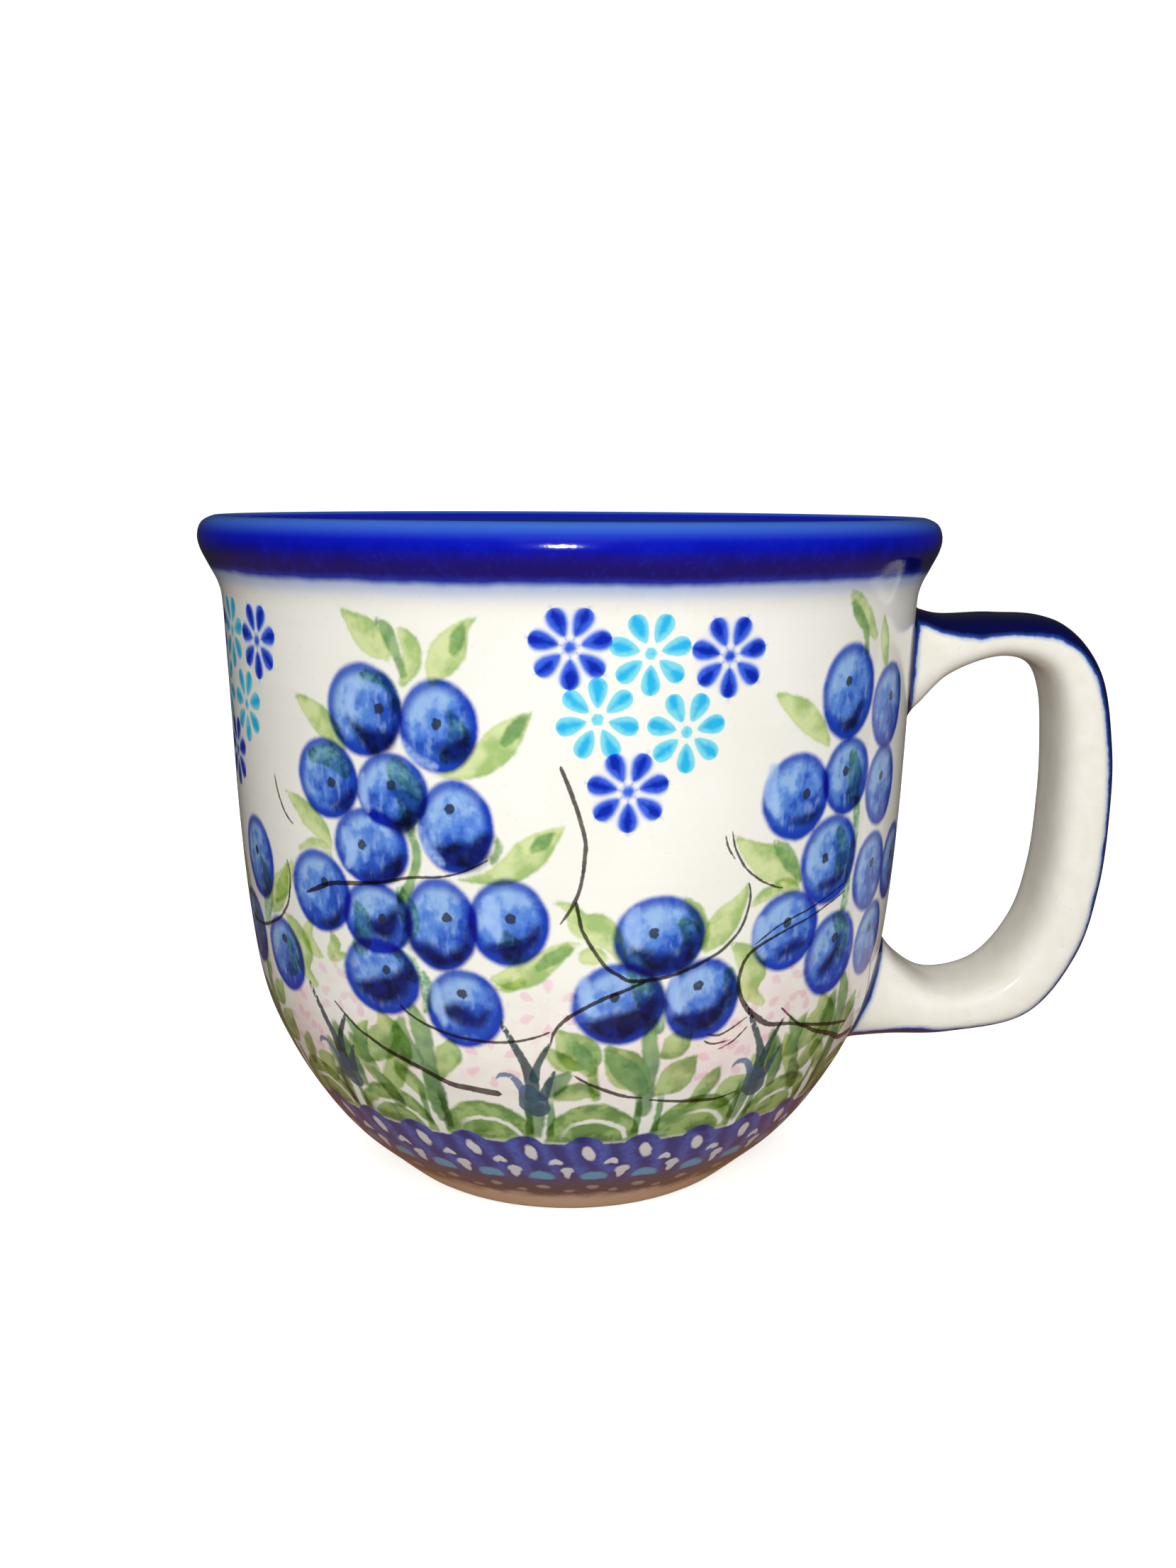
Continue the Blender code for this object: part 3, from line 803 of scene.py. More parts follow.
FRONT_TENDRILS = [
    [(24.6, 57.2, 0.1), (25.2, 55.6, 0.14), (26.4, 54.1, 0.08)],
    [(25.7, 57.7, 0.1), (26.2, 55.8, 0.14), (27.3, 54, 0.14), (28.6, 52.6, 0.16), (31.3, 50.9, 0.15),
     (34, 49.9, 0.14), (35.5, 49.6, 0.06)],
    [(50.4, 47.2, 0.1), (42, 45, 0.14), (38, 44.2, 0.16), (34, 43.2, 0.2), (30.8, 42.1, 0.24),
     (29.2, 40.8, 0.26), (28.4, 38.5, 0.28), (28.9, 36.4, 0.3), (30.6, 34.2, 0.38), (33.3, 32.4, 0.42),
     (35.5, 31.4, 0.34), (40.1, 30.7, 0.25), (44.7, 29.7, 0.25), (53.9, 27.9, 0.25), (59.5, 27, 0.15)],
    [(50.4, 48.4, 0.1), (42, 46.2, 0.12), (38, 45.4, 0.12), (34.4, 44.4, 0.12), (31, 42.8, 0.1)],
    [(23.8, 31.6, 0.14), (26.3, 31.3, 0.16), (30.9, 33.2, 0.1)],
    [(23.3, 30.7, 0.12), (25, 30.1, 0.14), (28, 30.3, 0.1)],
    [(26, 29.2, 0.08), (28.7, 30.1, 0.14), (31.2, 31.9, 0.1)]]
BRANCH_TENDRILS = [
    [(-25.5, 35, 0.1), (-24, 34, 0.16), (-21, 32.8, 0.2), (-16.7, 31.8, 0.2), (-12.3, 31.4, 0.2),
     (-7.6, 31.5, 0.18), (-3.5, 32.3, 0.16), (-1.2, 33.1, 0.12)],
    [(-39.3, 33.3, 0.12), (-34.9, 30.4, 0.2), (-32.1, 29.3, 0.24), (-29.3, 28.2, 0.3), (-22.9, 26.3, 0.36),
     (-18.2, 24.7, 0.42), (-14.4, 24.3, 0.5), (-10, 23.9, 0.5)],
    [(-50, 61.9, 0.12), (-49.4, 60, 0.18), (-48.2, 58, 0.18), (-46.8, 56.7, 0.14), (-45.4, 56, 0.1)],
    [(-43.2, 47.4, 0.16), (-40, 48.5, 0.34), (-37.2, 49.4, 0.3), (-33.6, 49.9, 0.3), (-30, 50.3, 0.26),
     (-26.4, 50.9, 0.22), (-22, 51.8, 0.18), (-16.9, 52.3, 0.14), (-13.2, 53.3, 0.12), (-9.6, 54.9, 0.08)]]
line_layers = Layers("tendril", (0.0, -3.0, 0.0))
brush(line_layers, TRIO_SHIFTS, [(0, TRIO_TENDRILS)], "line")
brush(line_layers, [0.0], [(0, FRONT_TENDRILS)], "line")
brush(line_layers, BRANCH_SHIFTS, [(0, BRANCH_TENDRILS)], "line")
brush(line_layers, [-77.0], [(0, TRIO_TENDRILS[:2])], "line")
brush(line_layers, [77.0], [(0, BRANCH_TENDRILS[1:2])], "line")
line_sheets = line_layers.store(painted_wall)

# %% Flowers from a cut sponge, in deep blue or in light blue: angle, height, and how far each is turned
DEEP_FLOWERS = [(1.6, 80.1, 0), (24.1, 78.8, 0), (9.8, 63.15, 0)]
LIGHT_FLOWERS = [(12.6, 79.35, 0), (18, 70.05, 0), (5.4, 71.75, 180)]
deep_layers = Layers("deep_flower", (9.0, 9.0, 9.0))
light_layers = Layers("light_flower", (9.0, 9.0, 9.0))
for shift in FLOWER_SHIFTS:
    for layers, flowers in ((deep_layers, DEEP_FLOWERS), (light_layers, LIGHT_FLOWERS)):
        for angle, height, turned_by in flowers:
            stamp(layers, angle + shift, height, 1.0, 1.0, 5.8, turned_by)
deep_flower_sheets = deep_layers.store(painted_wall)
light_flower_sheets = light_layers.store(painted_wall)
PINK = [(-1.5, 36.2), (-10.5, 28.5), (27, 27), (39, 36), (-45, 31), (-33.5, 36)]
pink_layers = Layers("pink_flower", (9.0, 9.0, 9.0))
for shift in GROUND_SHIFTS:
    for angle, height in PINK:
        stamp(pink_layers, angle + shift, height, 1.0, 1.0, 5.4)
pink_sheets = pink_layers.store(painted_wall)

# %% [markdown]
# ## The painted glaze
# Potter's pigments lie under a clear glaze and most are see-through, so they are laid on as stains: each
# multiplies the colour below, and a leaf under a berry turns it dark green, as on the real cup. The
# densest ones cover what is below and are blended instead: the cobalt of the lip and the band, the navy
# shade, the dark strokes of the leaves, the grass and the eyes. Brushed pigment is never even, so every
# mask and tone is stirred with noise of a few millimetres.

# %% Cream slip
glaze = Finish("painted_glaze")
spot = in_mm(glaze)
x, y, z = parts(spot)
broad, drift = grain(glaze, spot, 16.0), grain(glaze, spot, 3.0, 3.0)
cloudy, fine = grain(glaze, spot, 1.7), grain(glaze, spot, 0.7)
broad_sway, sway = broad - 0.5, drift - 0.5
cloudy_sway, fine_sway = cloudy - 0.5, fine - 0.5
rough_edge = fine_sway * 0.30 + cloudy_sway * 0.35
ground = blend(step_up(broad, 0.3, 0.7), CREAM, hue(242, 240, 232))
ground = blend(step_up(fine, 0.62, 0.80) * 0.25, ground, hue(214, 208, 196))


def drawn(what):
    """Prints how far the painting has come."""
    print("%s drawn, %d nodes so far" % (what, len(glaze.tree.nodes)))


drawn("cream slip")

# %% Faint pink ground between the low plants
haze = step_up(z, 20.0, 27.0) * step_up(z, 42.0, 34.0) * step_up(broad + drift * 0.5, 0.55, 0.95)
ground = stain(haze * 0.8, ground, wash(232, 212, 208))
drawn("pink ground")


def petals(finish, name, count, inner, outer, widest):
    """How far inside a petal a point is, in mm, in a ring of petals of which one points straight down."""
    across, up, distance = parts(stencil(finish, name))
    one_petal = 2.0 * math.pi / count
    round_about = across.math("ARCTAN2", across, 0.0 - up) / one_petal
    off_axis = abs(from_whole(round_about)) * one_petal
    sideways = distance * off_axis
    reach = (distance - inner) / (outer - inner)
    held = smaller(larger(reach, 0.0), 1.0)
    half_width = held ** 0.6 * (1.0 - held ** 4.2) ** 0.5 * (widest / 1.46)
    return half_width - sideways - 2.0 * larger(reach - 1.0, 0.0), distance


# %% Pink dotted flowers
for name in pink_sheets:
    inside_by, distance = petals(glaze, name, 6, 1.9, 3.9, 1.5)
    dab = step_up(inside_by + rough_edge * 1.2, -0.1, 0.35)
    ground = stain(dab * (0.25 + 0.4 * drift), ground, wash(232, 176, 198))
drawn("pink flowers")


# %% Leaves
def leaf(finish, colour, name):
    """One sheet of leaf pulls over a colour: pale wash, darker heart, a rim where the wash dried."""
    inside_by, side, tone = parts(stencil(finish, name))
    wet = inside_by + rough_edge * 1.1
    mask = step_up(wet, -0.22, 0.42)
    heart = step_up(drift + side * 0.20 + cloudy_sway * 0.4, 0.34, 0.74)
    pale = blend(heart, wash(208, 219, 160), wash(160, 188, 116))
    pale = blend(step_up(z, 35.0, 30.0) * 0.85, pale, blend(heart, wash(170, 194, 128), wash(112, 150, 90)))
    dark = blend(step_up(cloudy, 0.30, 0.70), hue(140, 178, 104), hue(98, 146, 84))
    dark = blend(step_up(z, 35.0, 26.0) * 0.7, dark, blend(heart, hue(104, 140, 92), hue(64, 104, 78)))
    veil = blend(step_up(cloudy * 0.6 + fine * 0.4, 0.42, 0.60), wash(186, 214, 180), wash(122, 166, 132))
    over_berry = larger(tone - 1.0, 0.0)
    is_dark = smaller(tone, 1.0) - over_berry
    pigment = blend(over_berry, pale, veil)
    dried = step_up(wet, 0.0, 0.20) * step_up(wet, 0.60, 0.28)
    colour = stain(mask * (1.0 - is_dark), colour, pigment)
    colour = blend(mask * is_dark * 0.88, colour, dark)
    return stain(dried * 0.14, colour, wash(150, 178, 100))


for name in leaf_sheets:
    ground = leaf(glaze, ground, name)
drawn("leaves")

# %% [markdown]
# ### Domes, band and lip
# The green domes and the band of scales repeat evenly round the cup. Their stencils are simple enough
# to work out in the material, from the angle round the axis and the height.

# %% Green domes with a pale vein
DOMES = 19
FIRST_DOME = 6.0
DOME_FOOT, DOME_HEIGHT = 16.2, 6.6
share_of_turn = x.math("ARCTAN2", x, 0.0 - y) / (2.0 * math.pi)
from_dome = from_whole(share_of_turn * DOMES - FIRST_DOME / 360.0 * DOMES)
dome_x = from_dome * 2.25 + sway * 0.22
dome_y = (z - DOME_FOOT) / DOME_HEIGHT + cloudy_sway * 0.12


def dome_size(width, rise):
    """One on an arch of this share of the dome's width and height."""
    wide, high = dome_x / width, dome_y / rise
    return (wide * wide + high * high) ** 0.5


whole = dome_size(1.04, 1.0)
dome_mask = step_up(whole, 1.03, 0.95) * step_up(z, 15.6, 16.6)
arch = dome_size(0.74, 0.56)
vein = step_up(arch, 0.88, 0.96) * step_up(arch, 1.12, 1.03)
vein = vein * step_up(from_dome + broad_sway * 0.9, -0.30, -0.05) * step_up(dome_y, 0.02, 0.14)
leafy = blend(step_up(drift + cloudy_sway * 0.6, 0.34, 0.66), wash(156, 182, 112), wash(106, 144, 80))
shadow = step_up(dome_size(0.85, 0.34), 1.0, 0.55) * step_up(drift, 0.42, 0.58)
leafy = blend(shadow * 0.8, leafy, wash(78, 112, 62))
leafy = blend(step_up(whole, 0.78, 0.92) * step_up(cloudy, 0.35, 0.6) * 0.7, leafy, wash(96, 138, 76))
ground = stain(dome_mask * (1.0 - vein * 0.9), ground, leafy)
# Between two domes stands one blade of grass.
gap = abs(from_dome) - 0.5 + sway * 0.10
blade = step_up(abs(gap + 0.10), 0.050, 0.022) * step_up(z, 16.8, 17.8) * step_up(z, 24.6, 22.0)
ground = stain(blade * 0.9, ground, wash(96, 146, 84))
drawn("domes")


# %% Flowers
def flower(finish, colour, name, deep, light, soft, fringe):
    """Seven dabs round an eye. The deep blue bleeds into the glaze, the light blue stays crisp."""
    inside_by, distance = petals(finish, name, 7, 1.35, 4.95, 2.45)
    eye = 0.78 - distance
    inside_by = larger(inside_by, eye) + rough_edge * 0.35
    mask = step_up(inside_by, -0.05 - soft, 0.10 + soft)
    full = step_up(inside_by + cloudy_sway * 1.3, 0.15, 1.0)
    tint_of = blend(full, light, deep)
    halo = step_up(inside_by, -0.75, 0.15)
    return stain(mask, stain(halo * fringe, colour, wash(196, 206, 232)), tint_of)


for name in light_flower_sheets:
    ground = flower(glaze, ground, name, wash(40, 176, 238), wash(124, 212, 246), 0.06, 0.0)
for name in deep_flower_sheets:
    ground = flower(glaze, ground, name, wash(12, 44, 168), wash(70, 112, 222), 0.24, 0.8)
drawn("flowers")


# %% Berries
streaky = glaze.node("ShaderNodeVectorMath", {"operation": "MULTIPLY"}, {0: spot, 1: (1.0, 1.0, 0.45)})
streaks = grain(glaze, streaky, 1.1)


def berry(finish, colour, name):
    """A sheet of berries over a colour."""
    across, up, distance = parts(stencil(finish, name))
    light_from = up * 0.52 - across * 0.34 + sway * 1.5 + cloudy_sway * 0.9
    edge = distance + sway * 0.08 + fine_sway * 0.03
    mask = step_up(edge, 1.10, 0.95)
    body = blend(step_up(light_from, -0.40, 0.06), wash(36, 78, 180), wash(88, 134, 214))
    body = blend(step_up(light_from, 0.02, 0.42), body, wash(146, 182, 236))
    body = blend(step_up(streaks, 0.50, 0.74) * 0.40, body, wash(166, 196, 242))
    body = blend(step_up(streaks, 0.46, 0.24) * 0.34, body, wash(52, 98, 198))
    ring = step_up(edge, 0.66, 0.92)
    body = blend(ring * (0.80 + 0.20 * step_up(light_from, 0.35, -0.25)), body, wash(22, 62, 176))
    return stain(mask, colour, body)


for name in berry_sheets:
    ground = berry(glaze, ground, name)
drawn("berries")

# %% Deep shade and pale gleams brushed over the berries
for name in shade_sheets:
    inside_by, side, tone = parts(stencil(glaze, name))
    mask = step_up(inside_by + rough_edge * 1.4, -0.80, 0.85)
    crisp = step_up(inside_by + rough_edge, -0.45, 0.35)
    navy = blend(step_up(cloudy, 0.35, 0.65), hue(8, 26, 104), hue(2, 6, 50))
    ground = blend(mask * (1.0 - tone) * 0.95, ground, navy)
    ground = blend(crisp * tone * (0.50 + 0.40 * cloudy), ground, hue(164, 196, 242))
drawn("shade and gleams")

# %% Eyes of the berries
for name in eye_sheets:
    across, up, distance = parts(stencil(glaze, name))
    pupil = step_up(distance + fine_sway * 0.5, 0.82, 0.60)
    ground = blend(pupil * 0.88, ground, hue(38, 44, 52))
    glint = step_up(distance, 0.42, 0.20) * step_up(fine, 0.42, 0.62)
    ground = blend(glint * 0.35, ground, hue(120, 124, 128))
drawn("eyes")

# %% Grass
for name in grass_sheets:
    inside_by, side, tone = parts(stencil(glaze, name))
    mask = step_up(inside_by + rough_edge * 0.6, 0.0, 0.22)
    sprout = blend(step_up(cloudy, 0.3, 0.7), hue(34, 78, 82), hue(14, 46, 54))
    ground = blend(mask * 0.90, ground, blend(tone, sprout, hue(92, 112, 150)))
drawn("grass")

# %% Tendrils, which thin out where the brush ran dry
for name in line_sheets:
    offset, half, tone = parts(stencil(glaze, name))
    mask = step_up(half - abs(offset) + fine_sway * 0.22, -0.07, 0.07)
    ground = stain(mask * (0.80 + 0.20 * cloudy), ground, wash(52, 42, 40))
drawn("tendrils")

# %% The band of scales round the foot
SCALES = 32
turn_of_scale = share_of_turn * SCALES
from_axis = (x * x + y * y) ** 0.5


def scale_row(angle, height):
    """Across and up in mm from the middle of the nearest mark of a row, given one mark's angle."""
    across = from_whole(turn_of_scale - angle * SCALES / 360.0) * (2.0 * math.pi / SCALES)
    return across * from_axis + sway * 1.2 + fine_sway * 0.2, z - height + cloudy_sway * 0.8


def oval(across, up, half_width, half_height):
    """One inside an oval mark, with a soft edge."""
    wide, high = across / half_width, up / half_height
    return step_up(wide * wide + high * high, 1.45, 0.55)


across, up = scale_row(4.7, 16.2)
scallop = z - 15.9 - 1.35 * larger(1.0 - across * across * 0.16, 0.0) + rough_edge
band = step_up(scallop, 0.25, -0.15)
strokes = turn_of_scale * 2.0 + z * 0.07 + broad_sway * 0.8
strokes = abs(from_whole(strokes)) * 2.0 + cloudy_sway * 1.4
band_blue = blend(step_up(strokes, 0.10, 1.10) * 0.75, hue(24, 34, 124), hue(74, 96, 192))
band_blue = blend(step_up(fine, 0.42, 0.62) * 0.35, band_blue, hue(30, 34, 110))
ragged_height = z + sway * 3.0
# Below about 11 mm the band turns brown-violet: a painted reflection of a warm wooden table in the glaze.
band_blue = blend(step_up(ragged_height, 11.5, 7.0), band_blue, hue(84, 64, 92))
band_mask = band * step_up(ragged_height, 3.2, 5.6)
light_marks = oval(across + up * 0.25, up + 2.0, 0.80, 1.30)
across, up = scale_row(-1.0, 12.7)
light_marks = larger(light_marks, oval(across, up + abs(across) * 0.5, 0.95, 0.55))
across, up = scale_row(1.5, 10.3)
light_marks = larger(light_marks, oval(across, up, 0.6, 1.2))
light_marks = larger(light_marks, oval(across, up - 0.5, 0.95, 0.7))
across, up = scale_row(7.1, 9.6)
shell = oval(across, up + 0.3, 1.65, 1.25) * step_up(up, -1.0, -0.5)
across, up = scale_row(7.1, 6.9)
low_marks = oval(across, up, 0.85, 0.5)
across, up = scale_row(1.5, 5.8)
low_marks = larger(low_marks, oval(across, up, 0.7, 0.4))
band_colour = blend(light_marks * 0.9, band_blue, hue(228, 224, 220))
band_colour = blend(shell * 0.85, band_colour, hue(96, 166, 204))
band_colour = blend(low_marks * 0.55, band_colour, hue(212, 196, 176))
ground = blend(band_mask * 0.96, ground, band_colour)
# Below about 8 mm a warm tan is stained on: a painted reflection of a warm wooden table under the foot.
ground = stain(step_up(z, 8.5, 3.0) * 0.85, ground, wash(220, 176, 138))
drawn("band")

# %% Cobalt lip: deep on the face, thin on the crest with a painted reflection there, feathered at its lower edge
stored = painted_wall.data.attributes.new("climb", "FLOAT", "POINT")
stored.data.foreach_set("value", point_climb.astype(np.float32))
climb_here = glaze.node("ShaderNodeAttribute", {"attribute_name": "climb"}, None, "Fac")
LIP_EDGE = 87.0
wobble = broad_sway * 1.1 + sway * 0.5
into_lip = climb_here - float(climb_of(LIP_EDGE)) + wobble
halo = step_up(into_lip, -2.8, 0.5)
ground = stain(halo * 0.75, ground, wash(140, 172, 230))
dense = step_up(into_lip, -0.35, 0.75)
cobalt = blend(step_up(into_lip + cloudy_sway * 0.8, 0.2, 1.6), hue(20, 52, 170), hue(3, 5, 108))
cobalt = blend(step_up(into_lip + sway * 1.5, 2.4, 5.6), cobalt, hue(4, 18, 176))
cobalt = blend(step_up(fine * 0.6 + drift * 0.4, 0.50, 0.72) * 0.45, cobalt, hue(16, 30, 160))
past_top = climb_here - float(top_climb)
# The crest is painted a lighter blue, partly for the thinner cobalt there and partly as a painted reflection
# of room light along the lip.
thin_crest_sheen = step_up(past_top, -3.6, -0.8) * step_up(past_top, 1.6, 0.4)
cobalt = blend(thin_crest_sheen * 0.9, cobalt, hue(66, 116, 212))
cobalt = blend(step_up(past_top, 1.2, 3.0), cobalt, hue(22, 36, 112))
ground = blend(dense, ground, cobalt)
PAINT_END = float(climb[-1]) - 2.2
ground = blend(step_up(climb_here + wobble, PAINT_END - 0.7, PAINT_END + 0.6), ground, CREAM)
drawn("lip")

# %% Gloss and relief
GLAZE_IOR = 1.52
waves = 0.6 * grain(glaze, spot, 2.6) + 0.25 * fine + 0.6 * dense + 1.2 * turning_marks(glaze, z, 0.35, 2.0)
glaze.cover(painted_wall, {"Base Color": ground, "Roughness": 0.09 + 0.07 * drift, "IOR": GLAZE_IOR,
                           "Normal": glaze.relief(waves, 0.10, 0.4)})

# %% The plain cream glaze inside
lining = Finish("cream_glaze")
place_in = in_mm(lining)
mottle, specks = grain(lining, place_in, 5.0, 3.0), grain(lining, place_in, 0.5, 1.0)
height_in = parts(place_in)[2]
lining_colour = blend(step_up(mottle, 0.3, 0.7), hue(228, 222, 208), hue(240, 236, 226))
lining_colour = blend(step_up(specks, 0.74, 0.80) * 0.5, lining_colour, hue(176, 158, 136))
lining_colour = stain(step_up(height_in, 9.0, 6.0) * 0.4, lining_colour, wash(220, 222, 220))
ridges = turning_marks(lining, height_in, 0.3, 1.0) + 0.3 * mottle
lining.cover(cup_inside, {"Base Color": lining_colour, "Roughness": 0.10 + 0.06 * mottle, "IOR": GLAZE_IOR,
                          "Normal": lining.relief(ridges, 0.12, 0.5)})

# %% Bare fired clay on the foot ring, with a glazed hollow inside it
clay = Finish("fired_clay")
place_foot = in_mm(clay)
foot_x, foot_y = parts(place_foot)[:2]
sand, grit = grain(clay, place_foot, 0.35, 3.0), grain(clay, place_foot, 2.5)
clay_colour = blend(step_up(grit, 0.3, 0.7), hue(196, 172, 142), hue(214, 194, 166))
clay_colour = blend(step_up(sand, 0.62, 0.74) * 0.6, clay_colour, hue(148, 120, 92))
foot_radius = (foot_x * foot_x + foot_y * foot_y) ** 0.5
hollow = step_up(foot_radius + (grit - 0.5) * 0.8, 20.4, 19.6)
foot_colour = blend(hollow, clay_colour, hue(232, 227, 214))
clay.cover(foot, {"Base Color": foot_colour, "Roughness": 0.75 - 0.62 * hollow,
                  "Normal": clay.relief(sand * (1.0 - hollow), 0.35, 0.3)})

# %% [markdown]
# ## The handle
# The handle is a pulled strap: a rounded oblong section that travels along a curve and swells at both
# ends. It is built as rings of points, and near the wall each lengthwise line leaves the strap in a small
# hollow curve and lies down on the wall, as the potter's thumb smooths the joint. Cobalt is brushed
# along its outer face and in a line round each root.

# %% Rings along the strap: outer radius and height, inner radius and height, width
STRAP = [(43.0, 82.2, 43.0, 64.0, 20.4), (48.6, 81.8, 48.3, 66.8, 19.6), (53.5, 80.7, 53.6, 72.2, 17.9),
         (61.4, 80.9, 60.9, 75.0, 17.4), (69.6, 79.9, 66.7, 73.5, 17.4), (75.4, 73.3, 68.9, 69.2, 17.4),
         (77.7, 62.6, 69.6, 61.4, 17.4), (handle_reach, 53.0, 69.6, 53.0, 17.4),
         (77.2, 42.0, 68.8, 43.4, 17.4), (74.4, 31.4, 66.5, 35.2, 17.4), (67.6, 22.4, 61.4, 28.7, 17.4),
         (56.0, 19.5, 54.4, 26.8, 17.5), (47.0, 19.0, 49.0, 29.8, 18.6), (40.0, 18.2, 44.4, 35.6, 20.0),
         (35.0, 18.0, 40.5, 37.6, 20.4)]
SQUARENESS = 3.0
RAILS = 72
strap = smooth_line(STRAP, 12)
turns = np.linspace(0.0, 2.0 * math.pi, RAILS, endpoint=False)
through = np.sign(np.cos(turns)) * np.abs(np.cos(turns)) ** (2.0 / SQUARENESS)
sideways = np.sign(np.sin(turns)) * np.abs(np.sin(turns)) ** (2.0 / SQUARENESS)
outer_x, outer_z, inner_x, inner_z, width = [strap[:, k, None] for k in range(5)]
rings = np.stack([(outer_x + inner_x) / 2.0 + through * (outer_x - inner_x) / 2.0,
                  sideways * width / 2.0,
                  (outer_z + inner_z) / 2.0 + through * (outer_z - inner_z) / 2.0], axis=2)
print("strap rings and rails:", rings.shape[:2])


# %% Where each lengthwise line meets the wall
def clearance(points):
    """How far outside the wall points are, in mm."""
    return np.hypot(points[..., 0], points[..., 1]) - wall_radius(points[..., 2])


def on_rail(rail, at):
    """The point at a fractional place along one lengthwise line."""
    k = min(int(at), len(rings) - 2)
    return rings[k, rail] + (at - k) * (rings[k + 1, rail] - rings[k, rail])


def crossing(rail, gap, rows):
    """The place along a lengthwise line, going through the given rows, where it is this far out."""
    gaps = clearance(rings[rows, rail])
    for before, after, g0, g1 in zip(rows, rows[1:], gaps, gaps[1:]):
        if g0 <= gap < g1:
            return before + (after - before) * (gap - g0) / (g1 - g0)
    return float(rows[0])


FILLET = 1.5
SUNK = 0.06
SKIRT_RINGS = 8
half_way = len(rings) // 2
upper_rows = np.arange(0, half_way)
lower_rows = np.arange(len(rings) - 1, half_way, -1)


def skirt(rows):
    """Rings of a hollow curve from the strap down on the wall, and where each line starts."""
    start = [crossing(r, FILLET, rows) for r in range(RAILS)]
    touch = np.array([on_rail(r, crossing(r, 0.0, rows)) for r in range(RAILS)])
    leave = np.array([on_rail(r, s) for r, s in enumerate(start)])
    away = touch - touch.mean(axis=0)
    out = np.stack([touch[:, 0], touch[:, 1], np.zeros(RAILS)], axis=1)
    out /= np.linalg.norm(out, axis=1)[:, None]
    away -= (away * out).sum(axis=1)[:, None] * out
    away /= np.linalg.norm(away, axis=1)[:, None]
    land = touch + FILLET * away
    shrink = (wall_radius(land[:, 2]) - SUNK) / np.hypot(land[:, 0], land[:, 1])
    land[:, 0] *= shrink
    land[:, 1] *= shrink
    curve = []
    for t in np.linspace(0.0, 1.0, SKIRT_RINGS + 1)[:-1]:
        curve.append((1 - t) ** 2 * land + 2 * t * (1 - t) * touch + t * t * leave)
    return np.array(curve), start


upper_skirt, upper_start = skirt(upper_rows)
lower_skirt, lower_start = skirt(lower_rows)
LENGTHWISE = 150
body = np.array([[on_rail(r, upper_start[r] + (lower_start[r] - upper_start[r]) * k / LENGTHWISE)
                  for r in range(RAILS)] for k in range(LENGTHWISE + 1)])
handle_rings = np.concatenate([upper_skirt, body, lower_skirt[::-1]])
print("the strap touches the wall from %.1f to %.1f mm up at its foot and from %.1f to %.1f mm at its top" %
      (lower_skirt[0, :, 2].min(), lower_skirt[0, :, 2].max(), upper_skirt[0, :, 2].min(),
       upper_skirt[0, :, 2].max()))

# %% The handle's mesh and what its finish needs to know
faces = []
for i in range(len(handle_rings) - 1):
    for r in range(RAILS):
        s = (r + 1) % RAILS
        faces.append((i * RAILS + r, (i + 1) * RAILS + r, (i + 1) * RAILS + s, i * RAILS + s))
handle = piece("glazed_handle", handle_rings.reshape(-1, 3), faces)
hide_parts("handle", "upper_handle_slip", "lower_handle_slip")
steps = np.linalg.norm(np.diff(handle_rings, axis=0), axis=2)
from_top = np.concatenate([np.zeros((1, RAILS)), np.cumsum(steps, axis=0)])
from_end = from_top[-1] - from_top
root_gap = np.minimum(from_top, from_end)
share = np.clip((np.arange(len(handle_rings)) - SKIRT_RINGS) / LENGTHWISE, 0.0, 1.0)
thick = np.interp(share, [0.0, 0.04, 0.12, 0.5, 0.9, 1.0], [17.0, 13.0, 7.0, 8.2, 8.0, 17.0])
depth = (1.0 - through[None, :]) / 2.0 * thick[:, None]
PAINTED_DEPTH = [(0.0, 2.4), (0.10, 3.2), (0.22, 3.0), (0.30, 2.0), (0.5, 1.6), (0.68, 1.5), (0.78, 1.3),
                 (0.86, 1.7), (0.93, 2.3), (1.0, 2.3)]
edge = np.interp(share, [p[0] for p in PAINTED_DEPTH], [p[1] for p in PAINTED_DEPTH])
values = np.stack([edge[:, None] - depth, root_gap, np.repeat(share[:, None], RAILS, axis=1)], axis=2)
stored = handle.data.attributes.new("strap", "FLOAT_VECTOR", "POINT")
stored.data.foreach_set("vector", values.astype(np.float32).ravel())
print("handle: %d faces, length along the strap %.0f mm" % (len(faces), from_top[-1].mean()))

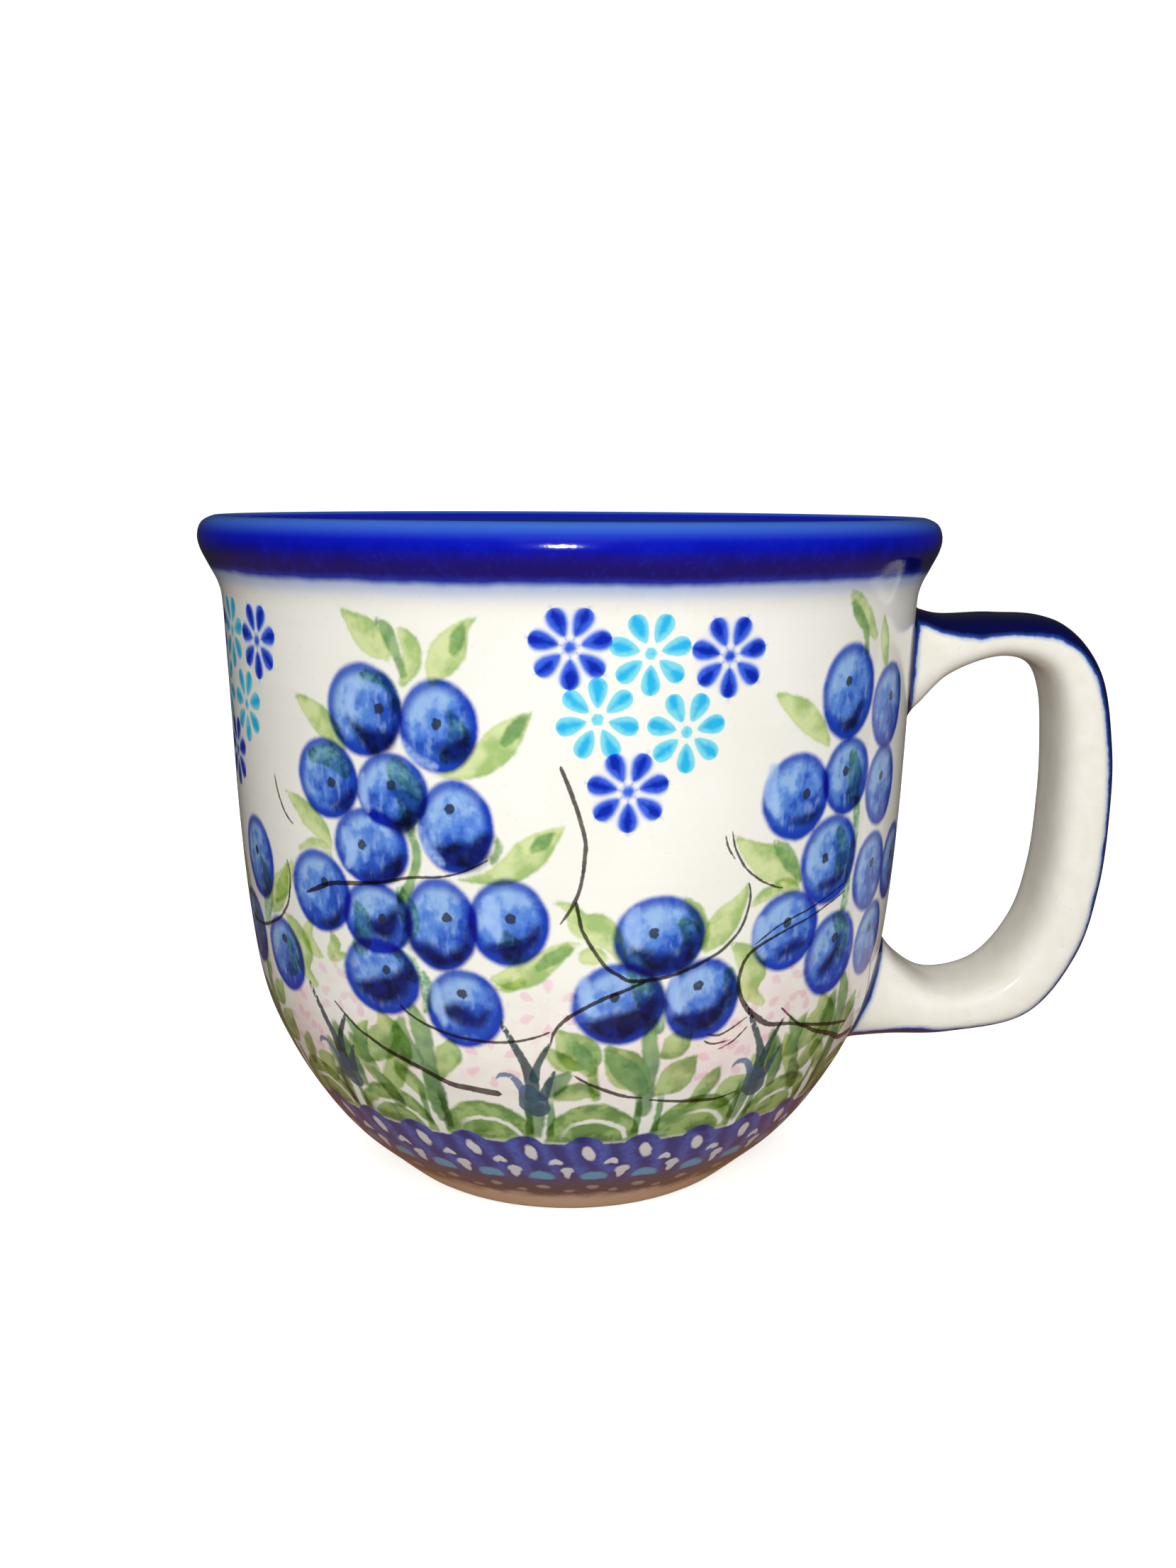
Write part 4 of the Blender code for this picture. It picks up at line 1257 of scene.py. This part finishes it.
# %% Cream glaze with cobalt along the back and round the roots
strap_glaze = Finish("handle_glaze")
place_on = in_mm(strap_glaze)
soft, tiny = grain(strap_glaze, place_on, 3.0, 3.0), grain(strap_glaze, place_on, 0.6)
into_cobalt, root, along = parts(stencil(strap_glaze, "strap"))
colour = blend(step_up(soft, 0.3, 0.7), hue(236, 231, 219), hue(241, 237, 228))
colour = blend(step_up(tiny, 0.66, 0.80) * 0.3, colour, hue(200, 190, 172))
ragged = (soft - 0.5) * 0.9 + (tiny - 0.5) * 0.3
into_cobalt = into_cobalt + ragged * 0.8
into_root = 1.9 - root + ragged * 0.7
into = larger(into_cobalt, into_root)
colour = stain(step_up(into, -0.75, 0.1) * 0.6, colour, wash(120, 154, 206))
blue = blend(step_up(into, 0.0, 0.9), hue(30, 72, 160), hue(5, 10, 70))
colour = blend(step_up(into, -0.18, 0.25), colour, blue)
strap_glaze.cover(handle, {"Base Color": colour, "Roughness": 0.10 + 0.06 * soft, "IOR": GLAZE_IOR,
                           "Normal": strap_glaze.relief(0.7 * soft + 0.2 * tiny, 0.12, 0.4)})

# %% [markdown]
# ## The paper sweep
# The floor is a wide pale disc that curves up into a wall all round, so no edge of it is ever seen. It
# belongs to the studio, not to the mug.

# %% The sweep
SWEEP = [(0.0, 0.0), (0.9, 0.0), (1.15, 0.03), (1.32, 0.20), (1.36, 0.45), (1.37, 1.1)]
sweep_line = smooth_line(SWEEP, 8) / MM
sweep_line[0, 0] = 0.5
sweep = turned("studio_sweep", sweep_line[::-1], 96)
paper = Finish("pale_paper")
paper_colour = blend(grain(paper, in_mm(paper), 2.0, 3.0), hue(238, 238, 236), hue(246, 246, 244))
paper.cover(sweep, {"Base Color": paper_colour, "Roughness": 0.85, "Emission Color": paper_colour,
                    "Emission Strength": 0.70})
sweep.visible_glossy = False
sweep.visible_diffuse = False
sweep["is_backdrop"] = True

# %% [markdown]
# ## Sizes
# The boxes of the CAD model and of the finished pieces, printed in mm. The finished pieces must fill
# the same box as the CAD model.

# %% Print both boxes
visual_low, visual_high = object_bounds()
sizes = {"cad": [list(cad_low), list(cad_high)], "visual": [list(visual_low), list(visual_high)]}
for name, (low, high) in sizes.items():
    print(name, "box in mm:", [round((b - a) / MM, 1) for a, b in zip(low, high)])
